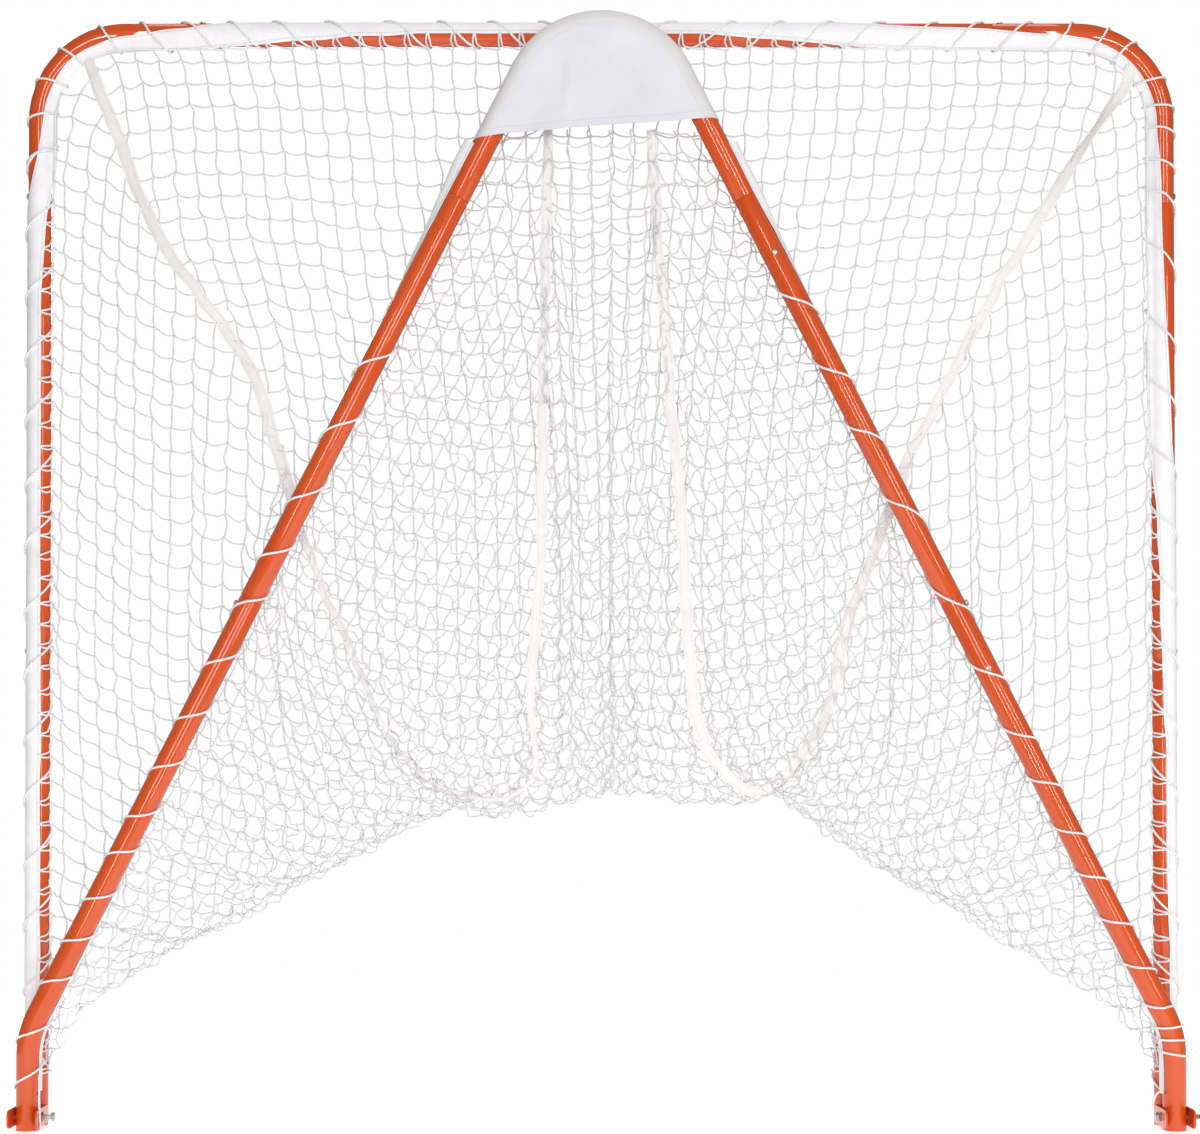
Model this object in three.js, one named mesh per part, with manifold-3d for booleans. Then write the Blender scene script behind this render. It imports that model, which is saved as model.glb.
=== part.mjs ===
// A folding lacrosse goal, standing folded on its feet: an upright mouth frame of round steel tubes,
// a V-shaped ground frame that hinges on its feet and is swung up against it, and a net laced to both.
// Millimetres, +Z up. The mouth faces +Y and the ground frame stands on the -Y side.

import * as THREE from 'three';
import { mergeVertices } from 'three/addons/utils/BufferGeometryUtils.js';
import Module from 'manifold-3d';

const wasm = await Module();
wasm.setup();

// Driving sizes. Heights are above the floor.
const goal = { mouthWidth: 1829, height: 1829, frameSpacing: 58 };
const gap = 0.3; // between pieces that touch
const overrun = 2; // of every cut past what it cuts
const tube = { radius: 19, wall: 1.5, bendRadius: 144, footBendRadius: 150, sides: 16, bendSteps: 8 };
const seam = { cornerArm: 304, apexArm: 307, postHeight: 768, legHeight: 863 };
const spigot = { length: 70, taper: 4, wall: 1.5 };
const screw = { radius: 3, head: 5.5, crown: 3.5, headHeight: 2.8, tip: 2, fromSeam: 15, sides: 8 };
const pivot = { height: 21.5, radius: 4, clearance: 0.4 };
const bolt = { length: 70, headAcross: 13, headHeight: 5.3, looseEnd: 12, washer: 8, washerThickness: 1.6 };
const nut = { across: 13, height: 6.5 };
const bracket = { plate: 3, clearance: 2.5, reach: 39, height: 30, frontRound: 9, bendRound: 4 };
const lockHole = { radius: 2.5, ahead: 27.5, below: 7 };
const bracketScrew = { radius: 3, head: 6, headHeight: 3, length: 12 };
const foot = { bendHeight: 155, cordHoleHeight: 61, cordHoleRadius: 2.5 };
const legScrew = { belowApexSeam: 93, belowLegSeam: 112, radius: 2.2, head: 4.5, headHeight: 2.2, length: 10 };
const tape = { width: 27, thickness: 1, station: 100, twistRun: 620 };
const tapeTurn = { innerLean: 40, outerLean: -30, steps: 3 }; // degrees, and chords across its width
const lacing = { radius: 2, pitch: 112, lowest: 130, steps: 8, sides: 3 };
const cover = { depth: 195, thickness: 1.2 };
const strap = { width: 20, thickness: 2.4, seam: 2.5, topShare: 0.012 };
const net = { string: 8, thickness: 3, frontOffset: 20, rearOffset: 10 };
const netEdge = { lowest: 90, bottomLift: 62, middleShare: 0.3285948606, foldDrop: 12 };
const netCells = { sideColumns: 4, topColumns: 5, frontRows: 6, rearRows: 4 };

// Where the hanging strap runs, as shares of half the post spacing across and of the height up.
// It leaves the elbow, drops between the layers of net, turns over at the bottom and climbs to the apex.
const strapFrontShares = [
  [0.87, 0.902], [0.78, 0.797], [0.63, 0.693], [0.56, 0.585], [0.5, 0.5], [0.4, 0.403], [0.3, 0.335],
];
const strapFoldShares = [[0.205, 0.298]];
const strapRearShares = [[0.135, 0.322], [0.118, 0.4], [0.107, 0.51], [0.1, 0.74], [0.094, 0.87]];

const orange = new THREE.MeshStandardMaterial({ color: 0xe55f28, roughness: 0.3, metalness: 0.1 });
const zinc = new THREE.MeshStandardMaterial({ color: 0xc9ccd0, roughness: 0.3, metalness: 0.9 });
const webbing = new THREE.MeshStandardMaterial({ color: 0xf2f0ee, roughness: 0.85, metalness: 0 });
const cord = new THREE.MeshStandardMaterial({ color: 0xfaf9f6, roughness: 0.7, metalness: 0 });
const twine = new THREE.MeshStandardMaterial({ color: 0xefefec, roughness: 0.8, metalness: 0 });
const canvas = new THREE.MeshStandardMaterial({ color: 0xf1f0f6, roughness: 0.8, metalness: 0 });

// Worked out from the driving sizes. Points in a frame's plane are x across and y up.
const postX = goal.mouthWidth / 2 + tube.radius;
const crossbarZ = goal.height - tube.radius;
const cornerSeamZ = goal.height - seam.cornerArm;
const crossbarSeamX = postX + tube.radius - seam.cornerArm;
const apexSeamZ = goal.height - seam.apexArm;
const apexCentreZ = crossbarZ - tube.bendRadius;
const coverBottom = goal.height - cover.depth;
const legRise = apexCentreZ - foot.bendHeight;
const legLean = Math.atan2(postX, legRise) - Math.asin(tube.bendRadius / Math.hypot(postX, legRise));
const peakZ = apexCentreZ + tube.bendRadius / Math.sin(legLean);
const facet = Math.cos(Math.PI / tube.sides); // a flat of the tube lies this share of the radius out
const screwFacet = Math.cos(Math.PI / screw.sides);
const spigotRadius = (tube.radius - tube.wall) * facet - gap;
const bendStep = Math.PI / 2 / tube.bendSteps;

const group = new THREE.Group();
const frontFrame = new THREE.Group();
const groundFrame = new THREE.Group();
groundFrame.position.y = -goal.frameSpacing;
group.add(frontFrame, groundFrame);

const sides = [['left', -1], ['right', 1]];
const steps = (count) => Array.from({ length: count + 1 }, (_, k) => k / count);
const point = (x, z) => new THREE.Vector2(x, z);
const legPoint = (height) => point((peakZ - height) * Math.tan(legLean), height);

// Pieces and solids

function addPiece(parent, name, geometry, material, place = [0, 0, 0], turnY = 0) {
  const piece = new THREE.Mesh(geometry, material);
  piece.name = name;
  piece.position.set(...place);
  piece.rotation.y = turnY;
  parent.add(piece);
  return piece;
}

function toSolid(geometry) {
  const bare = geometry.clone();
  bare.deleteAttribute('normal');
  bare.deleteAttribute('uv');
  const merged = mergeVertices(bare, gap / 1000);
  const vertProperties = new Float32Array(merged.attributes.position.array);
  const triVerts = new Uint32Array(merged.index.array);
  return new wasm.Manifold(new wasm.Mesh({ numProp: 3, vertProperties, triVerts }));
}

function toGeometry(solid) {
  const mesh = solid.getMesh();
  const geometry = new THREE.BufferGeometry();
  geometry.setAttribute('position', new THREE.BufferAttribute(new Float32Array(mesh.vertProperties), 3));
  geometry.setIndex(new THREE.BufferAttribute(new Uint32Array(mesh.triVerts), 1));
  return geometry;
}

// A round bar along a direction, starting at a point. Its flats lie at the radius.
function bar(radius, length, start, direction) {
  const corner = radius / screwFacet;
  const geometry = new THREE.CylinderGeometry(corner, corner, length, screw.sides);
  geometry.translate(0, length / 2, 0);
  const turn = new THREE.Quaternion().setFromUnitVectors(new THREE.Vector3(0, 1, 0), direction);
  geometry.applyQuaternion(turn);
  geometry.translate(start.x, start.y, start.z);
  return toSolid(geometry);
}

function cut(geometry, tools) {
  return toGeometry(tools.reduce((solid, tool) => solid.subtract(tool), toSolid(geometry)));
}

// A closed profile of [radius, height] pairs turned about Z.
function turned(profile, turnedSides) {
  const points = profile.map(([radius, height]) => point(radius, height));
  return new THREE.LatheGeometry(points, turnedSides).rotateX(Math.PI / 2);
}

// A line in a plane, with its round corners given as [x, z, radius].
function roundedLine(corners, line = new THREE.Path()) {
  const at = (i) => point(corners[i][0], corners[i][1]);
  corners.forEach(([x, z, radius], i) => {
    if (!radius) {
      if (i === 0) line.moveTo(x, z);
      else line.lineTo(x, z);
      return;
    }
    const into = at(i).sub(at(i - 1)).normalize();
    const out = at(i + 1).sub(at(i)).normalize();
    const turn = Math.atan2(into.cross(out), into.dot(out));
    const start = at(i).addScaledVector(into, -radius * Math.tan(Math.abs(turn) / 2));
    const centre = start.clone().addScaledVector(point(-into.y, into.x), Math.sign(turn) * radius);
    const from = Math.atan2(start.y - centre.y, start.x - centre.x);
    line.lineTo(start.x, start.y);
    line.absarc(centre.x, centre.y, radius, from, from + turn, turn < 0);
  });
  return line;
}

// Stations along such a line: the ends of its straights and even steps round its bends.
function stationsOf(line, longest = Infinity) {
  const stations = [];
  let before = 0;
  for (const curve of line.curves) {
    const length = curve.getLength();
    // Two bends that meet leave no straight between them.
    if (length < 0.01) continue;
    const turn = curve.isLineCurve ? 0 : Math.abs(curve.aEndAngle - curve.aStartAngle);
    const count = curve.isLineCurve ? Math.ceil(length / longest) || 1 : Math.ceil(turn / bendStep);
    for (let k = stations.length ? 1 : 0; k <= count; k += 1) {
      const at = curve.getPoint(k / count);
      stations.push({ at, tangent: curve.getTangent(k / count), run: before + (length * k) / count });
    }
    before += length;
  }
  return stations;
}

// A path through stations, which gives back exactly those when a section is swept along it.
class StationPath extends THREE.Curve {
  constructor(stations) {
    super();
    this.stations = stations;
  }

  station(share) {
    return this.stations[Math.round(share * (this.stations.length - 1))];
  }

  getPointAt(share) {
    const { at } = this.station(share);
    return new THREE.Vector3(at.x, 0, at.y);
  }

  getTangentAt(share) {
    const { tangent } = this.station(share);
    return new THREE.Vector3(tangent.x, 0, tangent.y);
  }
}

function sweep(stations, outer, inner = 0) {
  const section = new THREE.Shape().absarc(0, 0, outer, 0, Math.PI * 2);
  if (inner) section.holes.push(new THREE.Path().absarc(0, 0, inner, 0, Math.PI * 2));
  return new THREE.ExtrudeGeometry(section, {
    steps: stations.length - 1,
    curveSegments: tube.sides / 2,
    extrudePath: new StationPath(stations),
  });
}

// Tubes

const hollow = (stations) => sweep(stations, tube.radius, tube.radius - tube.wall);

// A screw through a tube in its frame's plane, its hole, and how its length is made up.
const screwLength = 2 * tube.radius + gap + screw.tip;

function screwHole(at, direction) {
  const start = new THREE.Vector3(at.x, 0, at.y).addScaledVector(direction, -tube.radius - overrun);
  return bar(screw.radius + gap, 2 * (tube.radius + overrun), start, direction);
}

function throughScrew() {
  const { radius, head, crown, headHeight, tip } = screw;
  const profile = [[0, 0], [radius, tip], [radius, screwLength], [head, screwLength],
    [crown, screwLength + headHeight], [0, screwLength + headHeight]];
  return turned(profile, screw.sides);
}

// Places a through screw with its head on the side that the direction points to.
function addThroughScrew(parent, name, at, direction) {
  const start = new THREE.Vector3(at.x, 0, at.y).addScaledVector(direction, -tube.radius - screw.tip);
  addPiece(parent, name, throughScrew(), zinc, start.toArray(), Math.atan2(direction.x, direction.z));
}

// A straight tube up Z from its lower seam, with a drawn-in spigot where it enters its neighbour.
function straightTube(length, lowerSpigot, upperSpigot) {
  const { radius, wall } = tube;
  const bore = spigotRadius - spigot.wall;
  const upper = length + gap;
  const outside = [[radius, 0], [radius, length]];
  const inside = [[radius - wall, length], [radius - wall, 0]];
  if (upperSpigot) {
    outside.push([spigotRadius, upper], [spigotRadius, upper + spigot.length]);
    inside.unshift([bore, upper + spigot.length], [bore, length - spigot.taper]);
    inside[2][1] = length - 2 * spigot.taper;
  }
  if (lowerSpigot) {
    outside.unshift([spigotRadius, -gap - spigot.length], [spigotRadius, -gap]);
    inside[inside.length - 1][1] = 2 * spigot.taper;
    inside.push([bore, spigot.taper], [bore, -gap - spigot.length]);
  }
  return turned([...outside, ...inside, outside[0]], tube.sides);
}

// Each hole is [height up the tube, local direction].
function drilledTube(length, lowerSpigot, upperSpigot, holes, extraTools = []) {
  const tools = holes.map(([height, direction]) => screwHole(point(0, height), direction));
  return cut(straightTube(length, lowerSpigot, upperSpigot), [...tools, ...extraTools]);
}

const acrossX = new THREE.Vector3(1, 0, 0);
const upZ = new THREE.Vector3(0, 0, 1);
const towardsMouth = new THREE.Vector3(0, 1, 0);

function addCornerTube(name, side) {
  const corners = [[side * postX, cornerSeamZ + gap], [side * postX, crossbarZ, tube.bendRadius],
    [side * (crossbarSeamX + gap), crossbarZ]];
  const postScrew = point(side * postX, cornerSeamZ + screw.fromSeam);
  const barScrew = point(side * (crossbarSeamX + screw.fromSeam), crossbarZ);
  const tools = [screwHole(postScrew, acrossX), screwHole(barScrew, upZ)];
  const geometry = cut(hollow(stationsOf(roundedLine(corners))), tools);
  addPiece(frontFrame, `corner_tube_${name}`, geometry, orange);
  addThroughScrew(frontFrame, `corner_post_screw_${name}`, postScrew, new THREE.Vector3(side, 0, 0));
  addThroughScrew(frontFrame, `corner_bar_screw_${name}`, barScrew, upZ);
}

// The crossbar halves lie along X, from the middle joint out to the corner tubes.
function addCrossbarTube(name, side) {
  const length = crossbarSeamX - gap / 2;
  const holes = [[length + screw.fromSeam, acrossX]];
  const isInner = side > 0; // the right half's spigot enters the left half
  if (isInner) holes.push([-screw.fromSeam, acrossX]);
  else holes.push([screw.fromSeam, acrossX]);
  const geometry = drilledTube(length, isInner, true, holes);
  const place = [(side * gap) / 2, 0, crossbarZ];
  addPiece(frontFrame, `crossbar_tube_${name}`, geometry, orange, place, (side * Math.PI) / 2);
}

function addPost(name, side) {
  const middle = cornerSeamZ - seam.postHeight - gap;
  const middleHoles = [[middle + screw.fromSeam, acrossX], [screw.fromSeam, acrossX]];
  const middleTube = drilledTube(middle, false, true, middleHoles);
  const middlePlace = [side * postX, 0, seam.postHeight + gap];
  addPiece(frontFrame, `post_tube_middle_${name}`, middleTube, orange, middlePlace);
  const lowerHoles = [[seam.postHeight + screw.fromSeam + gap, acrossX]];
  const start = new THREE.Vector3(0, -tube.radius - overrun, pivot.height);
  const bracketHole = bar(bracketScrew.radius + gap, tube.radius, start, towardsMouth);
  const lowerTube = drilledTube(seam.postHeight, false, true, lowerHoles, [bracketHole]);
  addPiece(frontFrame, `post_tube_lower_${name}`, lowerTube, orange, [side * postX, 0, 0]);
  const screwAt = point(side * postX, seam.postHeight + gap + screw.fromSeam);
  addThroughScrew(frontFrame, `post_screw_${name}`, screwAt, new THREE.Vector3(side, 0, 0));
}

// The ground frame's legs lean in to the apex.
function legDirection(side) {
  return new THREE.Vector3(-side * Math.sin(legLean), 0, Math.cos(legLean));
}

function acrossLeg(side) {
  return new THREE.Vector3(side * Math.cos(legLean), 0, Math.sin(legLean));
}

function alongLeg(side, height, distance) {
  const start = legPoint(height);
  const direction = legDirection(side);
  return point(side * start.x + direction.x * distance, start.y + direction.z * distance);
}

function addApexTube() {
  const left = alongLeg(-1, apexSeamZ, gap);
  const corners = [[left.x, left.y], [0, peakZ, tube.bendRadius], [-left.x, left.y]];
  const screwAt = (side) => alongLeg(side, apexSeamZ, screw.fromSeam);
  const tools = sides.map(([, side]) => screwHole(screwAt(side), acrossLeg(side)));
  addPiece(groundFrame, 'apex_tube', cut(hollow(stationsOf(roundedLine(corners))), tools), orange);
}

function addMiddleLeg(name, side) {
  const length = (apexSeamZ - seam.legHeight) / Math.cos(legLean) - gap;
  const holes = [[length + screw.fromSeam, acrossX], [-screw.fromSeam, acrossX]];
  const high = side > 0 ? legScrewPlaces(side).filter(({ up }) => up > 0) : [];
  const tools = high.map(({ up }) => legScrewHole(up));
  const geometry = drilledTube(length, true, true, holes, tools);
  const low = alongLeg(side, seam.legHeight, gap / 2);
  addPiece(groundFrame, `leg_tube_middle_${name}`, geometry, orange, [low.x, 0, low.y], -side * legLean);
  const upperScrew = alongLeg(side, apexSeamZ, screw.fromSeam);
  addThroughScrew(groundFrame, `apex_screw_${name}`, upperScrew, acrossLeg(side));
  const lowerScrew = alongLeg(side, seam.legHeight, -screw.fromSeam);
  addThroughScrew(groundFrame, `leg_screw_${name}`, lowerScrew, acrossLeg(side));
}

function addLowerLeg(name, side) {
  const top = alongLeg(side, seam.legHeight, -gap / 2);
  const corners = [[side * postX, 0], [side * postX, foot.bendHeight, tube.footBendRadius], [top.x, top.y]];
  const pivotStart = new THREE.Vector3(side * postX - tube.radius - overrun, 0, pivot.height);
  const cordStart = new THREE.Vector3(side * postX, 0, foot.cordHoleHeight);
  const tools = [
    screwHole(alongLeg(side, seam.legHeight, -screw.fromSeam), acrossLeg(side)),
    bar(pivot.radius + pivot.clearance, 2 * (tube.radius + overrun), pivotStart, acrossX),
    bar(foot.cordHoleRadius, tube.radius + overrun, cordStart, new THREE.Vector3(0, -1, 0)),
  ];
  if (side > 0) tools.push(...lowLegScrewHoles(side));
  const geometry = cut(hollow(stationsOf(roundedLine(corners))), tools);
  addPiece(groundFrame, `leg_tube_lower_${name}`, geometry, orange);
}

// Small screws in the right leg, on the side away from the mouth.
function legScrewPlaces(side) {
  const heights = [apexSeamZ - legScrew.belowApexSeam, seam.legHeight - legScrew.belowLegSeam];
  return heights.map((height) => {
    const up = (height - seam.legHeight) / Math.cos(legLean);
    return { up, at: alongLeg(side, seam.legHeight, up) };
  });
}

function legScrewHole(up) {
  const start = new THREE.Vector3(0, -tube.radius - overrun, up - gap / 2);
  return bar(legScrew.radius + gap, tube.radius, start, towardsMouth);
}

function lowLegScrewHoles(side) {
  const low = legScrewPlaces(side).filter(({ up }) => up < 0);
  return low.map(({ at }) => {
    const start = new THREE.Vector3(at.x, -tube.radius - overrun, at.y);
    return bar(legScrew.radius + gap, tube.radius, start, towardsMouth);
  });
}

function panScrew({ radius, head, headHeight, length }) {
  const crown = head - headHeight / 2;
  const profile = [[0, 0], [radius, radius], [radius, length], [head, length],
    [head, length + headHeight / 2], [crown, length + headHeight], [0, length + headHeight]];
  return turned(profile, screw.sides).rotateX(Math.PI / 2);
}

function addLegScrews() {
  legScrewPlaces(1).forEach(({ at }, i) => {
    const place = [at.x, -tube.radius - gap + legScrew.length, at.y];
    addPiece(groundFrame, `leg_front_screw_${i + 1}`, panScrew(legScrew), zinc, place);
  });
}

// Hinges

function bracketGeometry() {
  const { plate, clearance, reach, height, frontRound, bendRound } = bracket;
  const half = tube.radius + clearance + plate;
  const back = goal.frameSpacing - tube.radius - gap;
  const section = roundedLine([
    [-half, -reach], [-half, back, bendRound + plate], [half, back, bendRound + plate], [half, -reach],
    [half - plate, -reach], [half - plate, back - plate, bendRound], [plate - half, back - plate, bendRound],
    [plate - half, -reach],
  ], new THREE.Shape());
  const flat = { bevelEnabled: false, curveSegments: 3 };
  const channel = new THREE.ExtrudeGeometry(section, { depth: height, ...flat });
  channel.translate(0, 0, -height / 2);
  const profile = roundedLine([
    [back + overrun, -height / 2 - overrun], [back + overrun, height / 2 + overrun],
    [0, height / 2 + overrun], [0, height / 2], [-reach, height / 2, frontRound],
    [-reach, -height / 2, frontRound], [0, -height / 2], [0, -height / 2 - overrun],
  ], new THREE.Shape());
  const sideView = new THREE.ExtrudeGeometry(profile, { depth: 2 * (half + overrun), ...flat });
  sideView.translate(0, 0, -half - overrun);
  const turn = new THREE.Matrix4().makeBasis(towardsMouth, upZ, acrossX);
  sideView.applyMatrix4(turn);
  const start = (y, z) => new THREE.Vector3(-half - overrun, y, z);
  const webStart = new THREE.Vector3(0, back - plate - overrun, 0);
  const through = 2 * (half + overrun);
  const solid = toSolid(channel).intersect(toSolid(sideView))
    .subtract(bar(pivot.radius + gap, through, start(0, 0), acrossX))
    .subtract(bar(lockHole.radius, through, start(-lockHole.ahead, -lockHole.below), acrossX))
    .subtract(bar(bracketScrew.radius + gap, plate + 2 * overrun, webStart, towardsMouth));
  return toGeometry(solid);
}

// A hexagon across its flats, from one height to another up Z, less a hole.
function hexagon(across, low, high, hole = 0) {
  const radius = across / 2 / Math.cos(Math.PI / 6);
  const geometry = new THREE.CylinderGeometry(radius, radius, high - low, 6);
  geometry.rotateX(Math.PI / 2).translate(0, 0, (low + high) / 2);
  if (!hole) return toSolid(geometry);
  const start = new THREE.Vector3(0, 0, low - overrun);
  return toSolid(geometry).subtract(bar(hole, high - low + 2 * overrun, start, upZ));
}

// The bolt's head is at Z 0 and its shank runs up Z.
function hingeBoltGeometry() {
  const start = new THREE.Vector3(0, 0, -bolt.headHeight / 2);
  const shank = bar(pivot.radius, bolt.length + bolt.headHeight / 2, start, upZ);
  return toGeometry(shank.add(hexagon(bolt.headAcross, -bolt.headHeight, 0)));
}

function washerGeometry() {
  const { washer, washerThickness } = bolt;
  const hole = (pivot.radius / screwFacet + gap) / screwFacet;
  const profile = [[hole, 0], [washer, 0], [washer, washerThickness], [hole, washerThickness], [hole, 0]];
  return turned(profile, screw.sides);
}

function addHinge(name, side, standOff) {
  const centre = [side * postX, -goal.frameSpacing, pivot.height];
  addPiece(frontFrame, `hinge_bracket_${name}`, bracketGeometry(), orange, centre);
  const webY = -tube.radius - gap - bracket.plate - gap;
  const screwPlace = [side * postX, webY + bracketScrew.length, pivot.height];
  addPiece(frontFrame, `bracket_screw_${name}`, panScrew(bracketScrew), zinc, screwPlace);
  const ear = tube.radius + bracket.clearance + bracket.plate;
  const at = (out) => [side * (postX + out), -goal.frameSpacing, pivot.height];
  const turn = (side * Math.PI) / 2;
  const washerOut = -ear - gap - bolt.washerThickness;
  addPiece(frontFrame, `hinge_washer_${name}`, washerGeometry(), zinc, at(washerOut), turn);
  const bolted = at(washerOut - gap - standOff);
  addPiece(frontFrame, `hinge_bolt_${name}`, hingeBoltGeometry(), zinc, bolted, turn);
  const nutGeometry = toGeometry(hexagon(nut.across, 0, nut.height, pivot.radius + gap));
  addPiece(frontFrame, `hinge_nut_${name}`, nutGeometry, zinc, at(ear + gap), turn);
}

// Net, tape, cord and cover

// Closes a stack of rings of equal count, with caps laid out on the flat section given.
function loft(rings, section) {
  const count = section.length;
  const positions = rings.flat().flatMap((corner) => corner.toArray());
  const index = [];
  for (let r = 0; r + 1 < rings.length; r += 1) {
    for (let k = 0; k < count; k += 1) {
      const a = r * count + k;
      const b = r * count + ((k + 1) % count);
      index.push(a, b, b + count, a, b + count, a + count);
    }
  }
  const last = (rings.length - 1) * count;
  const clockwise = THREE.ShapeUtils.isClockWise(section);
  for (const face of THREE.ShapeUtils.triangulateShape(section, [])) {
    const [a, b, c] = clockwise ? face.reverse() : face;
    index.push(c, b, a, last + a, last + b, last + c);
  }
  const geometry = new THREE.BufferGeometry();
  geometry.setAttribute('position', new THREE.Float32BufferAttribute(positions, 3));
  geometry.setIndex(index);
  return toGeometry(outward(geometry));
}

// Turns a closed surface right side out.
function outward(geometry) {
  const solid = toSolid(geometry);
  if (solid.volume() > 0) return solid;
  const { array } = geometry.index;
  for (let k = 0; k < array.length; k += 3) [array[k], array[k + 1]] = [array[k + 1], array[k]];
  return toSolid(geometry);
}

// The tape hugs the tube. It lies away from the mouth, and leans to the inside of the frame by an angle.
// Its corners are as far out as keeps the flats between them off the tube, also where the lean changes.
const steepest = 3 / 2; // a smooth step's slope at its middle, as a share of its mean
const leanChange = THREE.MathUtils.degToRad(tapeTurn.innerLean - tapeTurn.outerLean);
const mostChange = (leanChange * steepest * tape.station) / tape.twistRun; // from a station to the next
const tapeStep = tape.width / tube.radius / tapeTurn.steps;
const tapeRadius = (change) => (tube.radius + gap) / Math.cos((tapeStep + change) / 2);

function addTape(parent, name, stations, inside, leanAt) {
  const turns = steps(tapeTurn.steps).map((share) => tapeStep * tapeTurn.steps * (share - 1 / 2));
  const section = [...turns.map((a) => [a, tape.thickness]), ...turns.reverse().map((a) => [a, 0])];
  const leans = stations.map(({ run }) => THREE.MathUtils.degToRad(leanAt(run)));
  const rings = stations.map(({ at, tangent }, i) => {
    const inward = new THREE.Vector3(-tangent.y * inside, 0, tangent.x * inside);
    const changes = [leans[i - 1], leans[i + 1]].map((lean) => Math.abs((lean ?? leans[i]) - leans[i]));
    const low = tapeRadius(Math.max(...changes));
    return section.map(([a, out]) => new THREE.Vector3(at.x, 0, at.y)
      .addScaledVector(towardsMouth, -(low + out) * Math.cos(leans[i] + a))
      .addScaledVector(inward, (low + out) * Math.sin(leans[i] + a)));
  });
  const flat = section.map(([a, out]) => {
    const radius = tapeRadius(0) + out;
    return point(radius * Math.sin(a), radius * Math.cos(a));
  });
  addPiece(parent, name, loft(rings, flat), webbing);
}

// The lacing is one cord wound round the tube and its tape, with a flat of the cord turned inwards.
const cordFlat = Math.cos(Math.PI / lacing.sides);
const loopFlat = Math.cos(Math.PI / lacing.steps);
const loopOver = (tapeInner) => (tapeInner + tape.thickness + gap + lacing.radius * cordFlat) / loopFlat;
const frontLoop = loopOver(tapeRadius(mostChange));
const footSag = tube.footBendRadius * (1 - Math.cos(bendStep / 2)); // of a chord of the foot's bend
const legLoop = loopOver(tapeRadius(0) + footSag / 2);

function windingPoints(line, loopRadius, from, to, phase) {
  const length = line.getLength();
  const count = Math.round(((to - from) / lacing.pitch) * lacing.steps);
  return Array.from({ length: count + 1 }, (_, k) => {
    const share = (from + ((to - from) * k) / count) / length;
    const at = line.getPointAt(share);
    const tangent = line.getTangentAt(share);
    const turn = phase + (Math.PI * 2 * k) / lacing.steps;
    const radial = new THREE.Vector3(-tangent.y, 0, tangent.x).multiplyScalar(Math.sin(turn));
    radial.y = -Math.cos(turn);
    return { radial, at: new THREE.Vector3(at.x, 0, at.y).addScaledVector(radial, loopRadius) };
  });
}

function leastGap(points) {
  let least = Infinity;
  points.forEach((a, i) => {
    for (let j = i + lacing.steps / 2; j < points.length; j += 1) {
      least = Math.min(least, a.at.distanceTo(points[j].at) - 2 * lacing.radius);
    }
  });
  return least;
}

function addLacing(parent, name, line, loopRadius, from, to, phase = 0) {
  const points = windingPoints(line, loopRadius, from, to, phase);
  const directions = points.map((_, i) => {
    const before = points[Math.max(i - 1, 0)].at;
    return points[Math.min(i + 1, points.length - 1)].at.clone().sub(before).normalize();
  });
  const ends = [[0, -1], [points.length - 1, 1]].map(([i, way]) => ({
    radial: points[i].radial,
    at: points[i].at.clone().addScaledVector(directions[i], way * 2 * lacing.radius),
  }));
  const all = [ends[0], ...points, ends[1]];
  const along = [directions[0], ...directions, directions[directions.length - 1]];
  const corners = Array.from({ length: lacing.sides }, (_, k) => Math.PI * (1 + (2 * k + 1) / lacing.sides));
  const rings = all.map(({ at, radial }, i) => {
    const outwards = radial.clone().addScaledVector(along[i], -radial.dot(along[i])).normalize();
    const aside = along[i].clone().cross(outwards);
    return corners.map((a) => at.clone()
      .addScaledVector(outwards, lacing.radius * Math.cos(a))
      .addScaledVector(aside, lacing.radius * Math.sin(a)));
  });
  const flat = corners.map((a) => point(Math.cos(a), Math.sin(a)));
  addPiece(parent, name, loft(rings, flat), cord);
  console.log(`${name}: least gap between its loops ${leastGap(points).toFixed(1)} mm`);
}

// A pocket of canvas over the apex, open below, with the tube running round inside it.
function addCover() {
  const low = coverBottom - 3 * tube.radius;
  const left = point(-(peakZ - low) * Math.tan(legLean), low);
  const stations = stationsOf(roundedLine([[left.x, low], [0, peakZ, tube.bendRadius], [-left.x, low]]));
  const filled = (radius, deeper) => {
    const outline = new THREE.Shape(stations.map(({ at }) => at));
    const slab = new THREE.ExtrudeGeometry(outline, { depth: 2 * radius, bevelEnabled: false });
    slab.rotateX(Math.PI / 2).translate(0, radius, 0);
    const rod = sweep(stations, radius);
    return toSolid(rod).add(toSolid(slab)).subtract(below(coverBottom - deeper));
  };
  const inner = tube.radius + gap;
  const shell = filled(inner + cover.thickness, 0).subtract(filled(inner, overrun));
  addPiece(groundFrame, 'apex_cover', toGeometry(shell), canvas);
}

function below(height) {
  const block = new THREE.BoxGeometry(goal.mouthWidth, goal.mouthWidth, goal.height);
  return toSolid(block.translate(0, 0, height - goal.height / 2));
}

// The net hangs in two layers, joined by a fold along the bottom. Depths are from the mouth frame's plane.
const frontY = -net.frontOffset;
const rearY = -goal.frameSpacing + net.rearOffset;

// How far the net's edge stays from a tube's middle line, for a layer that lies off the tube's plane.
function clearOf(loopRadius, offset) {
  return Math.sqrt((loopRadius + lacing.radius + gap) ** 2 - (offset - net.thickness / 2) ** 2);
}

const frontInset = clearOf(frontLoop, net.frontOffset);
const legInset = clearOf(legLoop, net.rearOffset);

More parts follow.
